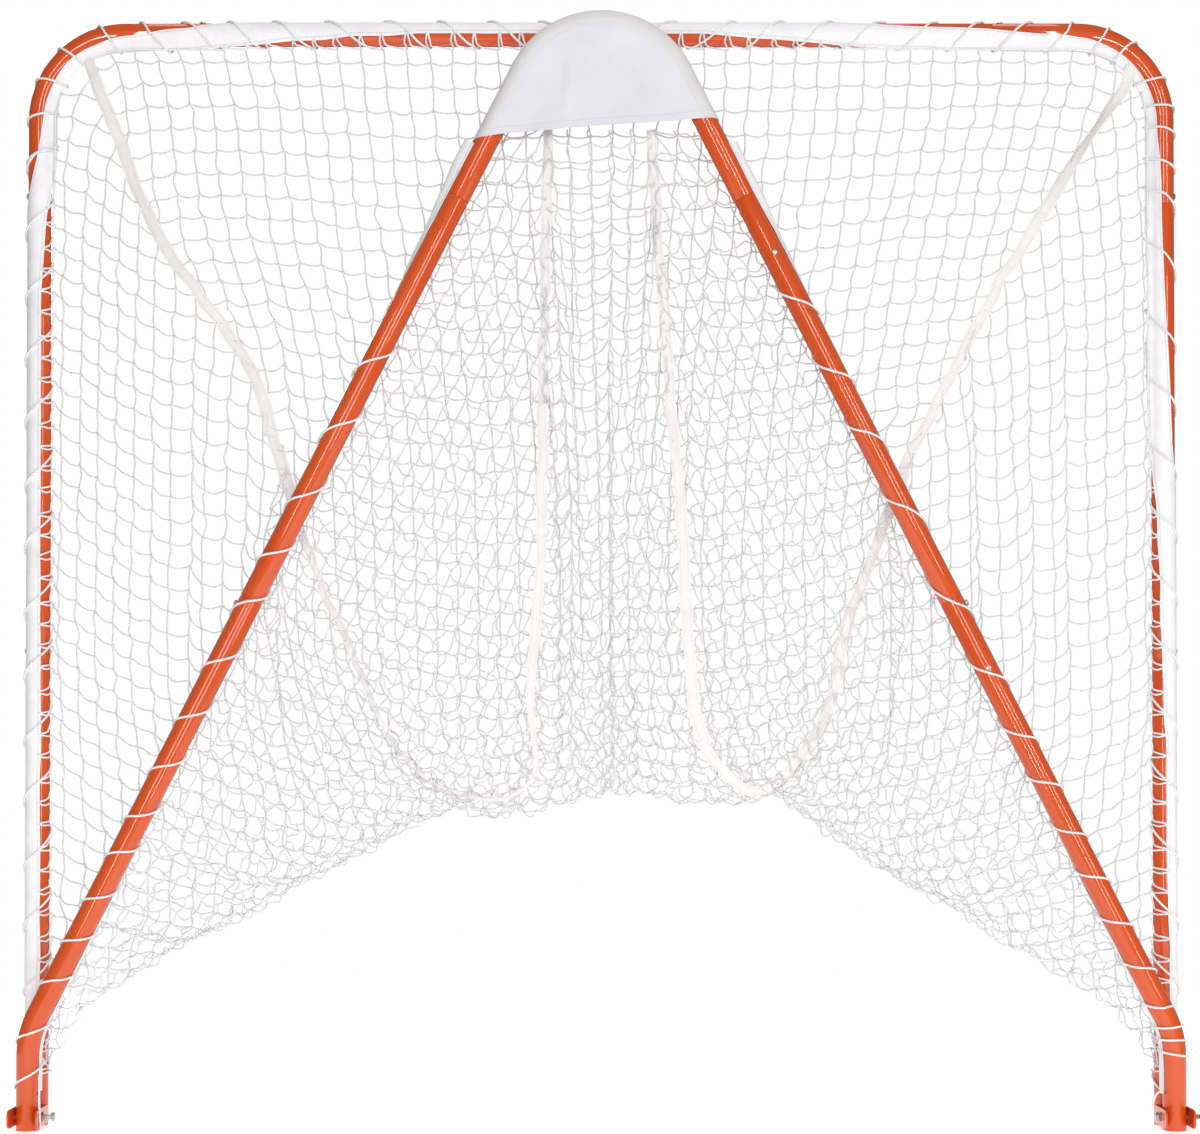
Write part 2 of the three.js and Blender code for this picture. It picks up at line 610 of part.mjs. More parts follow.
function strapCurve(side) {
  const spot = ([across, up], y) => new THREE.Vector3(side * across * postX, y, up * goal.height);
  const inset = tube.bendRadius - frontInset - strap.width / 2 - gap;
  const elbow = new THREE.Vector3(
    side * (postX - tube.bendRadius + inset * Math.SQRT1_2),
    frontY,
    crossbarZ - tube.bendRadius + inset * Math.SQRT1_2,
  );
  const points = [elbow, ...strapFrontShares.map((pair) => spot(pair, frontY)),
    ...strapFoldShares.map((pair) => spot(pair, (frontY + rearY) / 2)),
    ...strapRearShares.map((pair) => spot(pair, rearY))];
  return new THREE.CatmullRomCurve3(points, false, 'centripetal');
}

// The shares of the strap's curve where rows of net meet it: down the front layer, then up the rear.
const strapPoints = strapFrontShares.length + strapFoldShares.length + strapRearShares.length;
const foldShares = [0, 1, 2].map((k) => (strapFrontShares.length + k) / strapPoints);
const { lerp } = THREE.MathUtils;
const frontShares = steps(netCells.frontRows).map((v) => lerp(strap.topShare, foldShares[0], v));
const rearShares = steps(netCells.rearRows).map((w) => lerp(foldShares[2], 1, w));

// The way that the hung net's outer face looks: to the mouth, then down, then to the ground frame.
function outerFace(share) {
  if (share <= foldShares[0]) return new THREE.Vector3(0, 1, 0);
  return share < foldShares[2] ? new THREE.Vector3(0, 0, -1) : new THREE.Vector3(0, -1, 0);
}

// A point on the strap, or beside it in the net's surface, at a share of its curve.
function besideStrap(curve, share, distance, outwards = 0) {
  const face = outerFace(share);
  const across = curve.getTangent(share).cross(face).normalize();
  return curve.getPoint(share).addScaledVector(across, distance).addScaledVector(face, outwards);
}

function addStrap(name, side) {
  const run = strapCurve(side);
  const half = strap.width / 2;
  const thick = strap.thickness / 2;
  const flat = [point(-half, -thick), point(half, -thick), point(half, thick), point(-half, thick)];
  const shares = [...frontShares, foldShares[1], ...rearShares];
  const rings = shares.map((share) => flat.map(({ x, y }) => besideStrap(run, share, x, y)));
  addPiece(group, `net_strap_${name}`, loft(rings, flat), webbing);
}

// A sheet of square gaps in a grid of points: each cell is a frame of string round its gap.
function netGeometry(grid) {
  const rows = grid.length - 1;
  const columns = grid[0].length - 1;
  const near = (i, j) => grid[Math.min(Math.max(i, 0), rows)][Math.min(Math.max(j, 0), columns)];
  const normals = grid.map((row, i) => row.map((_, j) => {
    const down = near(i + 1, j).clone().sub(near(i - 1, j)).normalize();
    const across = near(i, j + 1).clone().sub(near(i, j - 1)).normalize();
    return down.cross(across).normalize();
  }));
  const positions = [];
  const index = [];
  const push = (at, normal) => {
    for (const way of [1, -1]) {
      positions.push(...at.clone().addScaledVector(normal, (way * net.thickness) / 2).toArray());
    }
    return positions.length / 3 - 2;
  };
  const vertex = grid.map((row, i) => row.map((at, j) => push(at, normals[i][j])));
  const quad = (a, b, c, d) => index.push(a, b, c, a, c, d);
  const both = (a, b, c, d) => {
    quad(a, b, c, d);
    quad(d + 1, c + 1, b + 1, a + 1);
  };
  const wall = (a, b) => quad(b, a, a + 1, b + 1);
  for (let i = 0; i < rows; i += 1) {
    for (let j = 0; j < columns; j += 1) {
      const cell = [[i, j], [i, j + 1], [i + 1, j + 1], [i + 1, j]];
      const outer = cell.map(([r, c]) => vertex[r][c]);
      const spots = cell.map(([r, c]) => grid[r][c]);
      const wide = Math.min(spots[0].distanceTo(spots[1]), spots[3].distanceTo(spots[2]));
      const tall = Math.min(spots[0].distanceTo(spots[3]), spots[1].distanceTo(spots[2]));
      if (Math.min(wide, tall) < 2 * net.string) {
        both(...outer);
        continue;
      }
      const mix = (list, u, v) => list[0].clone().multiplyScalar((1 - u) * (1 - v))
        .addScaledVector(list[1], u * (1 - v))
        .addScaledVector(list[2], u * v)
        .addScaledVector(list[3], (1 - u) * v);
      const u = net.string / 2 / wide;
      const v = net.string / 2 / tall;
      const cornerNormals = cell.map(([r, c]) => normals[r][c]);
      const inner = [[u, v], [1 - u, v], [1 - u, 1 - v], [u, 1 - v]]
        .map(([a, b]) => push(mix(spots, a, b), mix(cornerNormals, a, b).normalize()));
      for (let k = 0; k < 4; k += 1) {
        const next = (k + 1) % 4;
        both(outer[k], outer[next], inner[next], inner[k]);
        wall(inner[next], inner[k]);
      }
    }
  }
  for (let j = 0; j < columns; j += 1) {
    wall(vertex[0][j], vertex[0][j + 1]);
    wall(vertex[rows][j + 1], vertex[rows][j]);
  }
  for (let i = 0; i < rows; i += 1) {
    wall(vertex[i + 1][0], vertex[i][0]);
    wall(vertex[i][columns], vertex[i + 1][columns]);
  }
  const geometry = new THREE.BufferGeometry();
  geometry.setAttribute('position', new THREE.Float32BufferAttribute(positions, 3));
  geometry.setIndex(index);
  return toGeometry(outward(geometry));
}

// The net's outer edge beside the post and up round the elbow, from the elbow's middle down.
function postEdge(side) {
  const radius = tube.bendRadius - frontInset;
  const centre = [side * (postX - tube.bendRadius), crossbarZ - tube.bendRadius];
  const edge = new THREE.Path();
  const [from, to] = side > 0 ? [Math.PI / 4, 0] : [(Math.PI * 3) / 4, Math.PI];
  edge.absarc(...centre, radius, from, to, side > 0);
  edge.lineTo(side * (postX - frontInset), netEdge.lowest);
  return edge;
}

// The edge beside the ground frame's leg, from the foot up to the cover.
function legEdge(side) {
  const high = coverBottom - 2 * legInset;
  const shift = legInset / Math.cos(legLean);
  const bend = (foot.bendHeight * Math.tan(legLean) + legInset - shift) / Math.tan(legLean);
  const topX = (peakZ - high) * Math.tan(legLean) - shift;
  const footX = side * (postX - legInset);
  const corners = [[footX, netEdge.lowest], [footX, bend], [side * topX, high]];
  return roundedLine(corners);
}

function addSideNet(name, side) {
  const run = strapCurve(side);
  const beside = side * (strap.width / 2 + strap.seam);
  const row = (start, y, strapShare, lift) => {
    const outer = new THREE.Vector3(start.x, y, start.y);
    const inner = besideStrap(run, strapShare, beside);
    return steps(netCells.sideColumns).map((u) => {
      const raised = lift * netEdge.bottomLift * Math.sin(Math.PI * Math.sqrt(u));
      return outer.clone().lerp(inner, u).add(new THREE.Vector3(0, 0, raised));
    });
  };
  const post = postEdge(side);
  const leg = legEdge(side);
  const foldFoot = post.getPointAt(1).add(leg.getPointAt(0)).multiplyScalar(1 / 2);
  foldFoot.y -= netEdge.foldDrop;
  const frontRow = (v, i) => row(post.getPointAt(v), frontY, frontShares[i], v ** 3);
  const rearRow = (w, i) => row(leg.getPointAt(w), rearY, rearShares[i], (1 - w) ** 3);
  const front = steps(netCells.frontRows).map(frontRow);
  const fold = row(foldFoot, (frontY + rearY) / 2, foldShares[1], 1);
  const rear = steps(netCells.rearRows).map(rearRow);
  addPiece(group, `net_${name}`, netGeometry([...front.slice(1), fold, ...rear]), twine);
}

// How far up its arch a row of the top net is, across the mouth: it follows the elbows' inner bend.
function archShare(x) {
  const radius = tube.bendRadius - frontInset;
  const past = Math.abs(x) - (postX - tube.bendRadius);
  return past < 0 ? 1 : Math.sqrt(Math.max(0, 1 - (past / radius) ** 2));
}

function addTopNet() {
  const runs = sides.map(([, side]) => strapCurve(side));
  const top = crossbarZ - frontInset;
  const beside = strap.width / 2 + strap.seam;
  const row = (share, middle) => {
    const left = besideStrap(runs[0], share, beside);
    const right = besideStrap(runs[1], share, -beside);
    return steps(netCells.topColumns).map((u) => {
      const at = left.clone().lerp(right, u);
      if (u > 0 && u < 1) at.z += (middle - left.z) * archShare(at.x);
      return at;
    });
  };
  const high = runs[0].getPoint(1).z;
  const low = netEdge.middleShare * goal.height;
  const front = steps(netCells.frontRows).map((v, i) => row(frontShares[i], top + (low - top) * v));
  const fold = row(foldShares[1], low - netEdge.foldDrop);
  const rear = steps(netCells.rearRows).map((w, i) => row(rearShares[i], low + (high - low) * w));
  addPiece(group, 'net_top', netGeometry([...front, fold, ...rear]), twine);
}

// The two frames' middle lines, for what is wound and laid along them.
const frontLine = roundedLine([[-postX, 0], [-postX, crossbarZ, tube.bendRadius],
  [postX, crossbarZ, tube.bendRadius], [postX, 0]]);
const frontLength = frontLine.getLength();
const postRun = crossbarZ - tube.bendRadius; // from the floor to the start of the elbow
const elbowMiddle = postRun + (Math.PI / 4) * tube.bendRadius;

function legLine(side) {
  return roundedLine([[side * postX, 0], [side * postX, foot.bendHeight, tube.footBendRadius], [0, peakZ]]);
}

function addFrontTrim() {
  const stations = stationsOf(frontLine, tape.station);
  const leanAt = (run) => {
    const fromElbow = Math.min(Math.abs(run - elbowMiddle), Math.abs(frontLength - run - elbowMiddle));
    const twisted = THREE.MathUtils.smoothstep((fromElbow - tube.bendRadius) / tape.twistRun, 0, 1);
    return lerp(tapeTurn.innerLean, tapeTurn.outerLean, twisted);
  };
  const part = (from, to) => stations.filter(({ run }) => run > from && run < to);
  const half = gap + (tube.bendRadius * bendStep) / 2;
  const rightElbow = frontLength - elbowMiddle;
  const lowEnd = lacing.lowest / 2;
  addTape(frontFrame, 'post_tape_left', part(lowEnd, elbowMiddle - half), -1, leanAt);
  addTape(frontFrame, 'crossbar_tape', part(elbowMiddle + gap, rightElbow - gap), -1, leanAt);
  addTape(frontFrame, 'post_tape_right', part(rightElbow + half, frontLength - lowEnd), -1, leanAt);
  const barStart = postRun + (Math.PI / 2) * tube.bendRadius;
  const clear = lacing.pitch / 4;
  addLacing(frontFrame, 'post_lacing_left', frontLine, frontLoop, lacing.lowest, barStart);
  const barEnd = frontLength - barStart;
  addLacing(frontFrame, 'crossbar_lacing', frontLine, frontLoop, barStart + clear, barEnd - clear);
  addLacing(frontFrame, 'post_lacing_right', frontLine, frontLoop, barEnd, frontLength - lacing.lowest);
}

function addLegTrim(name, side) {
  const line = legLine(side);
  const topRun = line.getLength() - (peakZ - coverBottom) / Math.cos(legLean) - 2 * legInset;
  const low = { ...stationsOf(line)[0], at: line.getPointAt(lacing.lowest / 2 / line.getLength()) };
  const stations = stationsOf(line).slice(1, -1);
  const high = { ...stations[stations.length - 1], at: line.getPointAt(topRun / line.getLength()) };
  const lean = 180 + tapeTurn.outerLean / 2;
  addTape(groundFrame, `leg_tape_${name}`, [low, ...stations, high], side, () => lean);
  addLacing(groundFrame, `leg_lacing_${name}`, line, legLoop, lacing.lowest, topRun, Math.PI / 2);
}

sides.forEach(([name, side]) => {
  addCornerTube(name, side);
  addCrossbarTube(name, side);
  addPost(name, side);
  addMiddleLeg(name, side);
  addLowerLeg(name, side);
  addHinge(name, side, side < 0 ? bolt.looseEnd : 0);
  addLegTrim(name, side);
  addStrap(name, side);
  addSideNet(name, side);
});
addThroughScrew(frontFrame, 'crossbar_screw', point(-screw.fromSeam - gap / 2, crossbarZ), upZ);
addApexTube();
addLegScrews();
addFrontTrim();
addCover();
addTopNet();

// The origin is on the floor, midway between the posts and midway from front to back.
group.updateMatrixWorld(true);
const box = new THREE.Box3().setFromObject(group);
group.position.y = -(box.min.y + box.max.y) / 2;

export default group;
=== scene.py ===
# Lacrosse goal, folded flat and standing, seen from behind.
# Lengths are in millimetres until a mesh is made. X is across, -Y is towards the camera, Z is up.
import math
import bmesh
import bpy
import numpy as np
from mathutils import Matrix, Vector


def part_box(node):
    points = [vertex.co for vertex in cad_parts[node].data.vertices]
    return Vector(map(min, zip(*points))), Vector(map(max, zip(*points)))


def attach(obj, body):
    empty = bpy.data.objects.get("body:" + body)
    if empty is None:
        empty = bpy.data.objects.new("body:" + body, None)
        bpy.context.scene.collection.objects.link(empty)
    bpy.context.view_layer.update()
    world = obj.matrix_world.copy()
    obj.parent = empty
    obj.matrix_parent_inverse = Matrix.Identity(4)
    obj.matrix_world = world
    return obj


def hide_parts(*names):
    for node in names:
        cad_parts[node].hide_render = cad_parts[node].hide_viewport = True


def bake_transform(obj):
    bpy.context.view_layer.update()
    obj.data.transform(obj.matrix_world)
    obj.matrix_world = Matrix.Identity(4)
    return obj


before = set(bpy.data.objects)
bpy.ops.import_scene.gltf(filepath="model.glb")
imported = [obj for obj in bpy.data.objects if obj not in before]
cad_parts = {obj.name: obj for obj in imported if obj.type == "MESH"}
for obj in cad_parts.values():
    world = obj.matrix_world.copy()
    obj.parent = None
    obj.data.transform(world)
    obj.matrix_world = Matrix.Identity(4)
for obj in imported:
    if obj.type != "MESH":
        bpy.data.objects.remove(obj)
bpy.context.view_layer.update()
rng = np.random.default_rng(21)
millimetre = 0.001

layout = {
    "mouthY": 34.987,       # middle plane of the mouth frame
    "legY": -23.013,        # middle plane of the ground frame
    "postX": 933.5,
    "barZ": 1810.0,
    "tubeRadius": 19.0,
    "elbowRadius": 144.0,
    "footRadius": 150.0,
    "footBendZ": 155.0,
    "peakZ": 1982.45,       # where the two legs' middle lines would meet
    "legSlope": 0.51084,    # across per up
    "cordRadius": 1.9,
}
mouthY, legY = layout["mouthY"], layout["legY"]
planes = {"front_frame": mouthY, "ground_frame": legY}
towardsCamera = np.array([0.0, -1.0, 0.0])
tubeR = layout["tubeRadius"]
postX, barZ = layout["postX"], layout["barZ"]
legLean = math.atan(layout["legSlope"])
archZ = layout["peakZ"] - layout["elbowRadius"] / math.sin(legLean)    # centre of the bend at the apex
sides = (("left", -1), ("right", 1))


def makeObject(name, points, faces, materials, uvs=None, faceMaterial=None):
    first, *others = name.split("_")    # pieces are named like the frame's nodes, in camelCase
    name = first + "".join(word.capitalize() for word in others)
    mesh = bpy.data.meshes.new(name)
    mesh.from_pydata((np.asarray(points) * millimetre).tolist(), [], [list(f) for f in faces])
    mesh.polygons.foreach_set("use_smooth", [True] * len(mesh.polygons))
    if uvs is not None:
        loops = np.zeros(len(mesh.loops), np.int32)
        mesh.loops.foreach_get("vertex_index", loops)
        layer = mesh.uv_layers.new(name="UVMap")
        layer.data.foreach_set("uv", np.asarray(uvs, np.float32)[loops].ravel())
    for material in materials:
        mesh.materials.append(material)
    if faceMaterial is not None:
        mesh.polygons.foreach_set("material_index", faceMaterial)
    mesh.validate()
    mesh.update()
    obj = bpy.data.objects.new(name, mesh)
    bpy.context.scene.collection.objects.link(obj)
    return obj


def gridFaces(rows, columns, closed):
    # quads over a grid of rows x columns points, joined round along the columns when closed
    r, c = np.meshgrid(np.arange(rows - 1), np.arange(columns if closed else columns - 1), indexing="ij")
    d = (c + 1) % columns
    quads = np.stack([r * columns + c, r * columns + d, (r + 1) * columns + d, (r + 1) * columns + c], -1)
    return quads.reshape(-1, 4)


def closingFaces(rows, columns):
    # quads that join the last row to the first
    last = (rows - 1) * columns
    return [[last + k, last + (k + 1) % columns, (k + 1) % columns, k] for k in range(columns)]


def endFaces(rows, columns):
    # one face over the first row and one over the last
    return [list(range(columns))[::-1], [(rows - 1) * columns + k for k in range(columns)]]


def spotsAt(places, y):
    # points in space from (across, up) places and their depth
    return np.stack(np.broadcast_arrays(places[..., 0], y, places[..., 1]), -1)


def unit(v):
    return v / np.maximum(np.linalg.norm(v, axis=-1, keepdims=True), 1e-9)


def tangentsOf(points):
    t = np.zeros_like(points)
    t[..., 1:-1, :] = points[..., 2:, :] - points[..., :-2, :]
    t[..., 0, :] = points[..., 1, :] - points[..., 0, :]
    t[..., -1, :] = points[..., -1, :] - points[..., -2, :]
    return unit(t)


def runsOf(points):
    steps = np.linalg.norm(np.diff(points, axis=-2), axis=-1)
    return np.concatenate([np.zeros(steps.shape[:-1] + (1,)), np.cumsum(steps, axis=-1)], -1)


def cordArrays(paths, radius, count, depthShare=None):
    # round strings along many paths of equal point counts: paths is (strings, points, 3)
    paths = np.asarray(paths, float)
    n, m, _ = paths.shape
    along = tangentsOf(paths)
    side = np.zeros_like(along)
    first = np.cross(along[:, 0], [0.0, 1.0, 0.0])
    weak = np.linalg.norm(first, axis=1) < 0.2
    first[weak] = np.cross(along[weak, 0], [1.0, 0.0, 0.0])
    side[:, 0] = unit(first)
    for k in range(1, m):   # the section is carried along without turning
        carried = side[:, k - 1] - along[:, k] * np.sum(side[:, k - 1] * along[:, k], -1, keepdims=True)
        side[:, k] = unit(carried)
    up = np.cross(side, along)
    angle = np.arange(count) * 2 * math.pi / count
    ring = side[:, :, None] * np.cos(angle)[:, None] + up[:, :, None] * np.sin(angle)[:, None]
    ring = ring * radius
    if depthShare is not None:
        ring[..., 1] *= depthShare(paths[..., 1])[:, :, None]
    points = paths[:, :, None] + ring
    base = gridFaces(m, count, True)
    faces = (base[None] + (np.arange(n) * m * count)[:, None, None]).reshape(-1, 4)
    run = runsOf(paths) * millimetre
    uv = np.stack(np.broadcast_arrays(run[:, :, None], (np.arange(count) / count)[None, None]), -1)
    return points.reshape(-1, 3), faces, uv.reshape(-1, 2)


def roundCord(name, path, radius, count):
    # one cord with rounded ends
    path = np.asarray(path, float)
    points, faces, uvs = cordArrays(path[None], radius, count)
    points = points.reshape(len(path), count, 3)
    ends = [path[0] - unit(path[1] - path[0]) * radius * 0.6,
            path[-1] + unit(path[-1] - path[-2]) * radius * 0.6]
    for ring in (0, -1):
        points[ring] = path[ring] + (points[ring] - path[ring]) * 0.7
    total = len(path) * count
    faces = faces.tolist()
    for k in range(count):
        faces.append([total, (k + 1) % count, k])
        faces.append([total + 1, total - count + k, total - count + (k + 1) % count])
    allPoints = np.concatenate([points.reshape(-1, 3), ends])
    allUvs = np.concatenate([uvs, [uvs[0], uvs[-1]]])
    return makeObject(name, allPoints, faces, [lacingCord], allUvs)


def smoothCurve(points, step):
    # a Catmull-Rom line through the points, with even steps
    p = np.asarray(points, float)
    q = np.vstack([2 * p[0] - p[1], p, 2 * p[-1] - p[-2]])
    t = np.linspace(0, 1, 24, endpoint=False)[:, None]
    line = []
    for k in range(len(p) - 1):
        a, b, c, d = q[k:k + 4]
        line.append(0.5 * (2 * b + (c - a) * t + (2 * a - 5 * b + 4 * c - d) * t ** 2
                           + (3 * b - a - 3 * c + d) * t ** 3))
    line = np.vstack(line + [p[-1:]])
    return evenly(line, step)


def onLine(at, run, line):
    # where a line of points is, at one run along it or at several
    return np.stack([np.interp(at, run, line[:, k]) for k in range(line.shape[1])], -1)


def evenly(line, step):
    run = runsOf(line)
    count = max(2, int(round(run[-1] / step)) + 1)
    return onLine(np.linspace(0, run[-1], count), run, line)


def atShare(line, share):
    return onLine(np.clip(share, 0, 1) * (len(line) - 1), np.arange(len(line)), line)


def roundedPath(corners, step=3.0):    # step in degrees
    # corners are (across, up) or, with a bend, (across, up, bend radius)
    points = []
    for k, corner in enumerate(corners):
        here = np.array(corner[:2], float)
        if len(corner) < 3:
            points.append(here)
            continue
        before = unit(np.array(corners[k - 1][:2], float) - here)
        after = unit(np.array(corners[k + 1][:2], float) - here)
        half = math.acos(float(np.clip(before @ after, -1, 1))) / 2
        middle = here + unit(before + after) * corner[2] / math.sin(half)
        start = here + before * corner[2] / math.tan(half) - middle
        end = here + after * corner[2] / math.tan(half) - middle
        turn = math.atan2(start[0] * end[1] - start[1] * end[0], start @ end)
        count = max(2, math.ceil(abs(math.degrees(turn)) / step))
        for a in np.linspace(0, turn, count + 1):
            c, s = math.cos(a), math.sin(a)
            points.append(middle + np.array([start[0] * c - start[1] * s, start[0] * s + start[1] * c]))
    return np.array(points)


def newMaterial(name, colour, roughness, **sockets):
    material = bpy.data.materials.new(name)
    material.use_nodes = True
    shader = material.node_tree.nodes["Principled BSDF"]
    shader.inputs["Base Color"].default_value = (*colour, 1)
    shader.inputs["Roughness"].default_value = roughness
    for socket, value in sockets.items():
        shader.inputs[socket.replace("_", " ")].default_value = value
    return material


class Wiring:
    # short ways to add and join shader nodes
    def __init__(self, material):
        self.tree = material.node_tree
        self.shader = self.tree.nodes["Principled BSDF"]

    def node(self, kind, **settings):
        node = self.tree.nodes.new(kind)
        for key, value in settings.items():
            setattr(node, key, value)
        return node

    def join(self, source, target):
        self.tree.links.new(source, target)

    def put(self, node, values):
        for key, value in values.items():
            socket = node.inputs[key]
            if hasattr(value, "is_output"):
                self.join(value, socket)
            else:
                socket.default_value = value
        return node

    def math(self, operation, a, b=0.0, c=0.0):
        node = self.node("ShaderNodeMath", operation=operation)
        return self.put(node, {0: a, 1: b, 2: c}).outputs[0]

    def wave(self, value, perUnit):
        return self.math("SINE", self.math("MULTIPLY", value, perUnit))

    def place(self, kind="Object"):
        return self.node("ShaderNodeTexCoord").outputs[kind]

    def flat(self):
        # along and across, in metres, from the piece's own layout
        node = self.node("ShaderNodeSeparateXYZ")
        self.join(self.place("UV"), node.inputs[0])
        return node.outputs[0], node.outputs[1]

    def noise(self, scale, detail, roughness=0.5):
        node = self.node("ShaderNodeTexNoise")
        self.put(node, {"Vector": self.place(), "Scale": scale, "Detail": detail, "Roughness": roughness})
        return node.outputs["Fac"]

    def ramp(self, factor, low, high, dark, light):
        node = self.node("ShaderNodeValToRGB")
        self.join(factor, node.inputs[0])
        first, last = node.color_ramp.elements
        first.position, last.position = low, high
        first.color, last.color = (*dark, 1), (*light, 1)
        return node.outputs[0]

    def range(self, value, fromLow, fromHigh, toLow, toHigh):
        node = self.node("ShaderNodeMapRange")
        self.put(node, {0: value, 1: fromLow, 2: fromHigh, 3: toLow, 4: toHigh})
        return node.outputs[0]

    def bump(self, height, strength, distance, before=None):
        node = self.node("ShaderNodeBump")
        self.put(node, {"Height": height, "Strength": strength, "Distance": distance})
        if before is not None:
            self.join(before, node.inputs["Normal"])
        self.join(node.outputs[0], self.shader.inputs["Normal"])
        return node.outputs[0]

    def colour(self, output):
        self.join(output, self.shader.inputs["Base Color"])

    def mix(self, factor, a, b):
        node = self.node("ShaderNodeMix", data_type="RGBA")
        a, b = (value if hasattr(value, "is_output") else (*value, 1) for value in (a, b))
        return self.put(node, {0: factor, 6: a, 7: b}).outputs[2]


paint = {
    "colour": (0.655, 0.078, 0.005),
    "dark": (0.635, 0.073, 0.004),      # where the coat looks cloudy
    "light": (0.675, 0.083, 0.007),
    "rough": (0.4, 0.52),               # clean, and at a handling mark
    "coat": 0.85,
    "peel": 700.0,                      # how fine the orange-peel is
}


def makeFramePaint():
    # glossy powder coat: fine orange-peel, faint cloudiness and a few dull handling marks
    material = newMaterial("framePaint", paint["colour"], paint["rough"][0], Coat_Weight=paint["coat"],
                           Coat_Roughness=0.05, Coat_IOR=1.55, Specular_IOR_Level=0.2)
    w = Wiring(material)
    cloud = w.noise(9.0, 4.0)
    w.colour(w.ramp(cloud, 0.3, 0.7, paint["dark"], paint["light"]))
    marks = w.noise(60.0, 5.0, 0.65)
    w.join(w.range(marks, 0.45, 0.75, *paint["rough"]), w.shader.inputs["Roughness"])
    w.bump(w.noise(paint["peel"], 2.0), 0.04, 0.0001)
    return material


zinc = {
    "colour": (0.58, 0.56, 0.52),
    "dark": (0.40, 0.38, 0.34),         # where it is stained
    "light": (0.66, 0.65, 0.62),
    "rough": (0.45, 0.22),              # stained, and clean
}


def makeZinc():
    material = newMaterial("zincSteel", zinc["colour"], 0.3, Metallic=1.0)
    w = Wiring(material)
    stain = w.noise(180.0, 4.0, 0.6)
    w.colour(w.ramp(stain, 0.35, 0.7, zinc["dark"], zinc["light"]))
    w.join(w.range(stain, 0.3, 0.8, *zinc["rough"]), w.shader.inputs["Roughness"])
    w.bump(w.noise(900.0, 3.0), 0.15, 0.0002)
    return material


webbing = {
    "pick": 0.0016,         # metres from one cross thread to the next
    "stitch": 0.0045,
    "stitchHalf": 0.045,    # half the width of a row of stitches, as a share of half the tape's width
    "thread": (0.80, 0.80, 0.80),
    # light and dark colour, ribs, and how far out the stitches are
    "edgeTape": ((0.95, 0.935, 0.95), (0.87, 0.85, 0.87), 62.0, 0.80),
    "strapTape": ((0.90, 0.865, 0.85), (0.81, 0.77, 0.755), 46.0, 0.62),
}


def makeWebbing(name):
    # woven tape: ribs along it, a fine weave across, and a line of stitches near each edge; the gaps between
    # the stitches are painted darker, as painted shade
    # the piece's layout gives metres along and -1..1 across
    light, dark, ribs, stitchFrom = webbing[name]
    material = newMaterial(name, light, 0.82, Sheen_Weight=0.15, Sheen_Roughness=0.5)
    w = Wiring(material)
    along, across = w.flat()
    rib = w.wave(across, ribs)
    pick = w.wave(along, 2 * math.pi / webbing["pick"])
    weave = w.math("MULTIPLY", rib, pick)
    edge = w.math("ABSOLUTE", across)
    nearLine = w.math("COMPARE", edge, stitchFrom, webbing["stitchHalf"])
    dash = w.math("GREATER_THAN", w.wave(along, 2 * math.pi / webbing["stitch"]), -0.45)
    stitch = w.math("MULTIPLY", nearLine, dash)
    groove = w.math("MULTIPLY", nearLine, w.math("SUBTRACT", 1.0, dash))
    dirt = w.noise(35.0, 5.0, 0.6)
    base = w.ramp(dirt, 0.3, 0.72, dark, light)
    # painted shade in the gaps between the stitches, over the dirt's colour
    shaded = w.mix(w.math("MULTIPLY", groove, 0.6), base, tuple(c * 0.45 for c in dark))
    w.colour(w.mix(w.math("MULTIPLY", stitch, 0.5), shaded, webbing["thread"]))
    relief = w.math("ADD", w.math("MULTIPLY", weave, 0.35), w.math("MULTIPLY", stitch, 1.6))
    w.bump(w.math("SUBTRACT", relief, w.math("MULTIPLY", groove, 1.2)), 0.5, 0.0003)
    return material


cords = {
    "strands": 3,
    # light and dark colour, and twist per metre
    "lacingCord": ((0.92, 0.92, 0.92), (0.70, 0.69, 0.69), 900.0),
    "netTwine": ((0.86, 0.85, 0.86), (0.6, 0.59, 0.605), 1400.0),
    # the knots are the same twine as the net, a little darker: painted shade of their tight turns
    "knotTwine": ((0.84, 0.83, 0.84), (0.56, 0.55, 0.565), 1400.0),
}


def makeCordLook(name):
    # twisted cord: strands wind round it, and it is a little fluffy; the grooves between the strands are
    # painted darker, as painted shade
    light, dark, twist = cords[name]
    material = newMaterial(name, light, 0.85, Sheen_Weight=0.1)
    w = Wiring(material)
    along, around = w.flat()
    turn = w.math("MULTIPLY_ADD", around, cords["strands"] * 2 * math.pi, w.math("MULTIPLY", along, twist))
    strand = w.math("SINE", turn)
    wear = w.noise(120.0, 4.0, 0.6)
    # painted shade between the strands, added to the random wear
    shade = w.math("MULTIPLY_ADD", strand, 0.22, wear)
    w.colour(w.ramp(shade, 0.15, 0.75, dark, light))
    w.bump(w.math("MULTIPLY_ADD", wear, 0.5, strand), 0.35, 0.0004)
    return material


canvas = {
    "colour": (0.77, 0.755, 0.805),
    "panel": ((0.735, 0.72, 0.775), (0.795, 0.78, 0.835)),    # dark and light
    "binding": ((0.70, 0.685, 0.675), (0.77, 0.755, 0.745)),
    "line": (0.55, 0.535, 0.59),      # painted shade beside a seam and at the hem's fold
    "stitch": (0.86, 0.85, 0.87),
    "thread": 0.0011,       # metres from one thread to the next
    "bindingWide": 0.0015,
    "seamIn": 0.0035,       # the seam's stitches, in from the tube's middle line
    "hemUp": 0.009,
    "hemFold": 0.0115,
    "lineHalf": 0.0006,
}


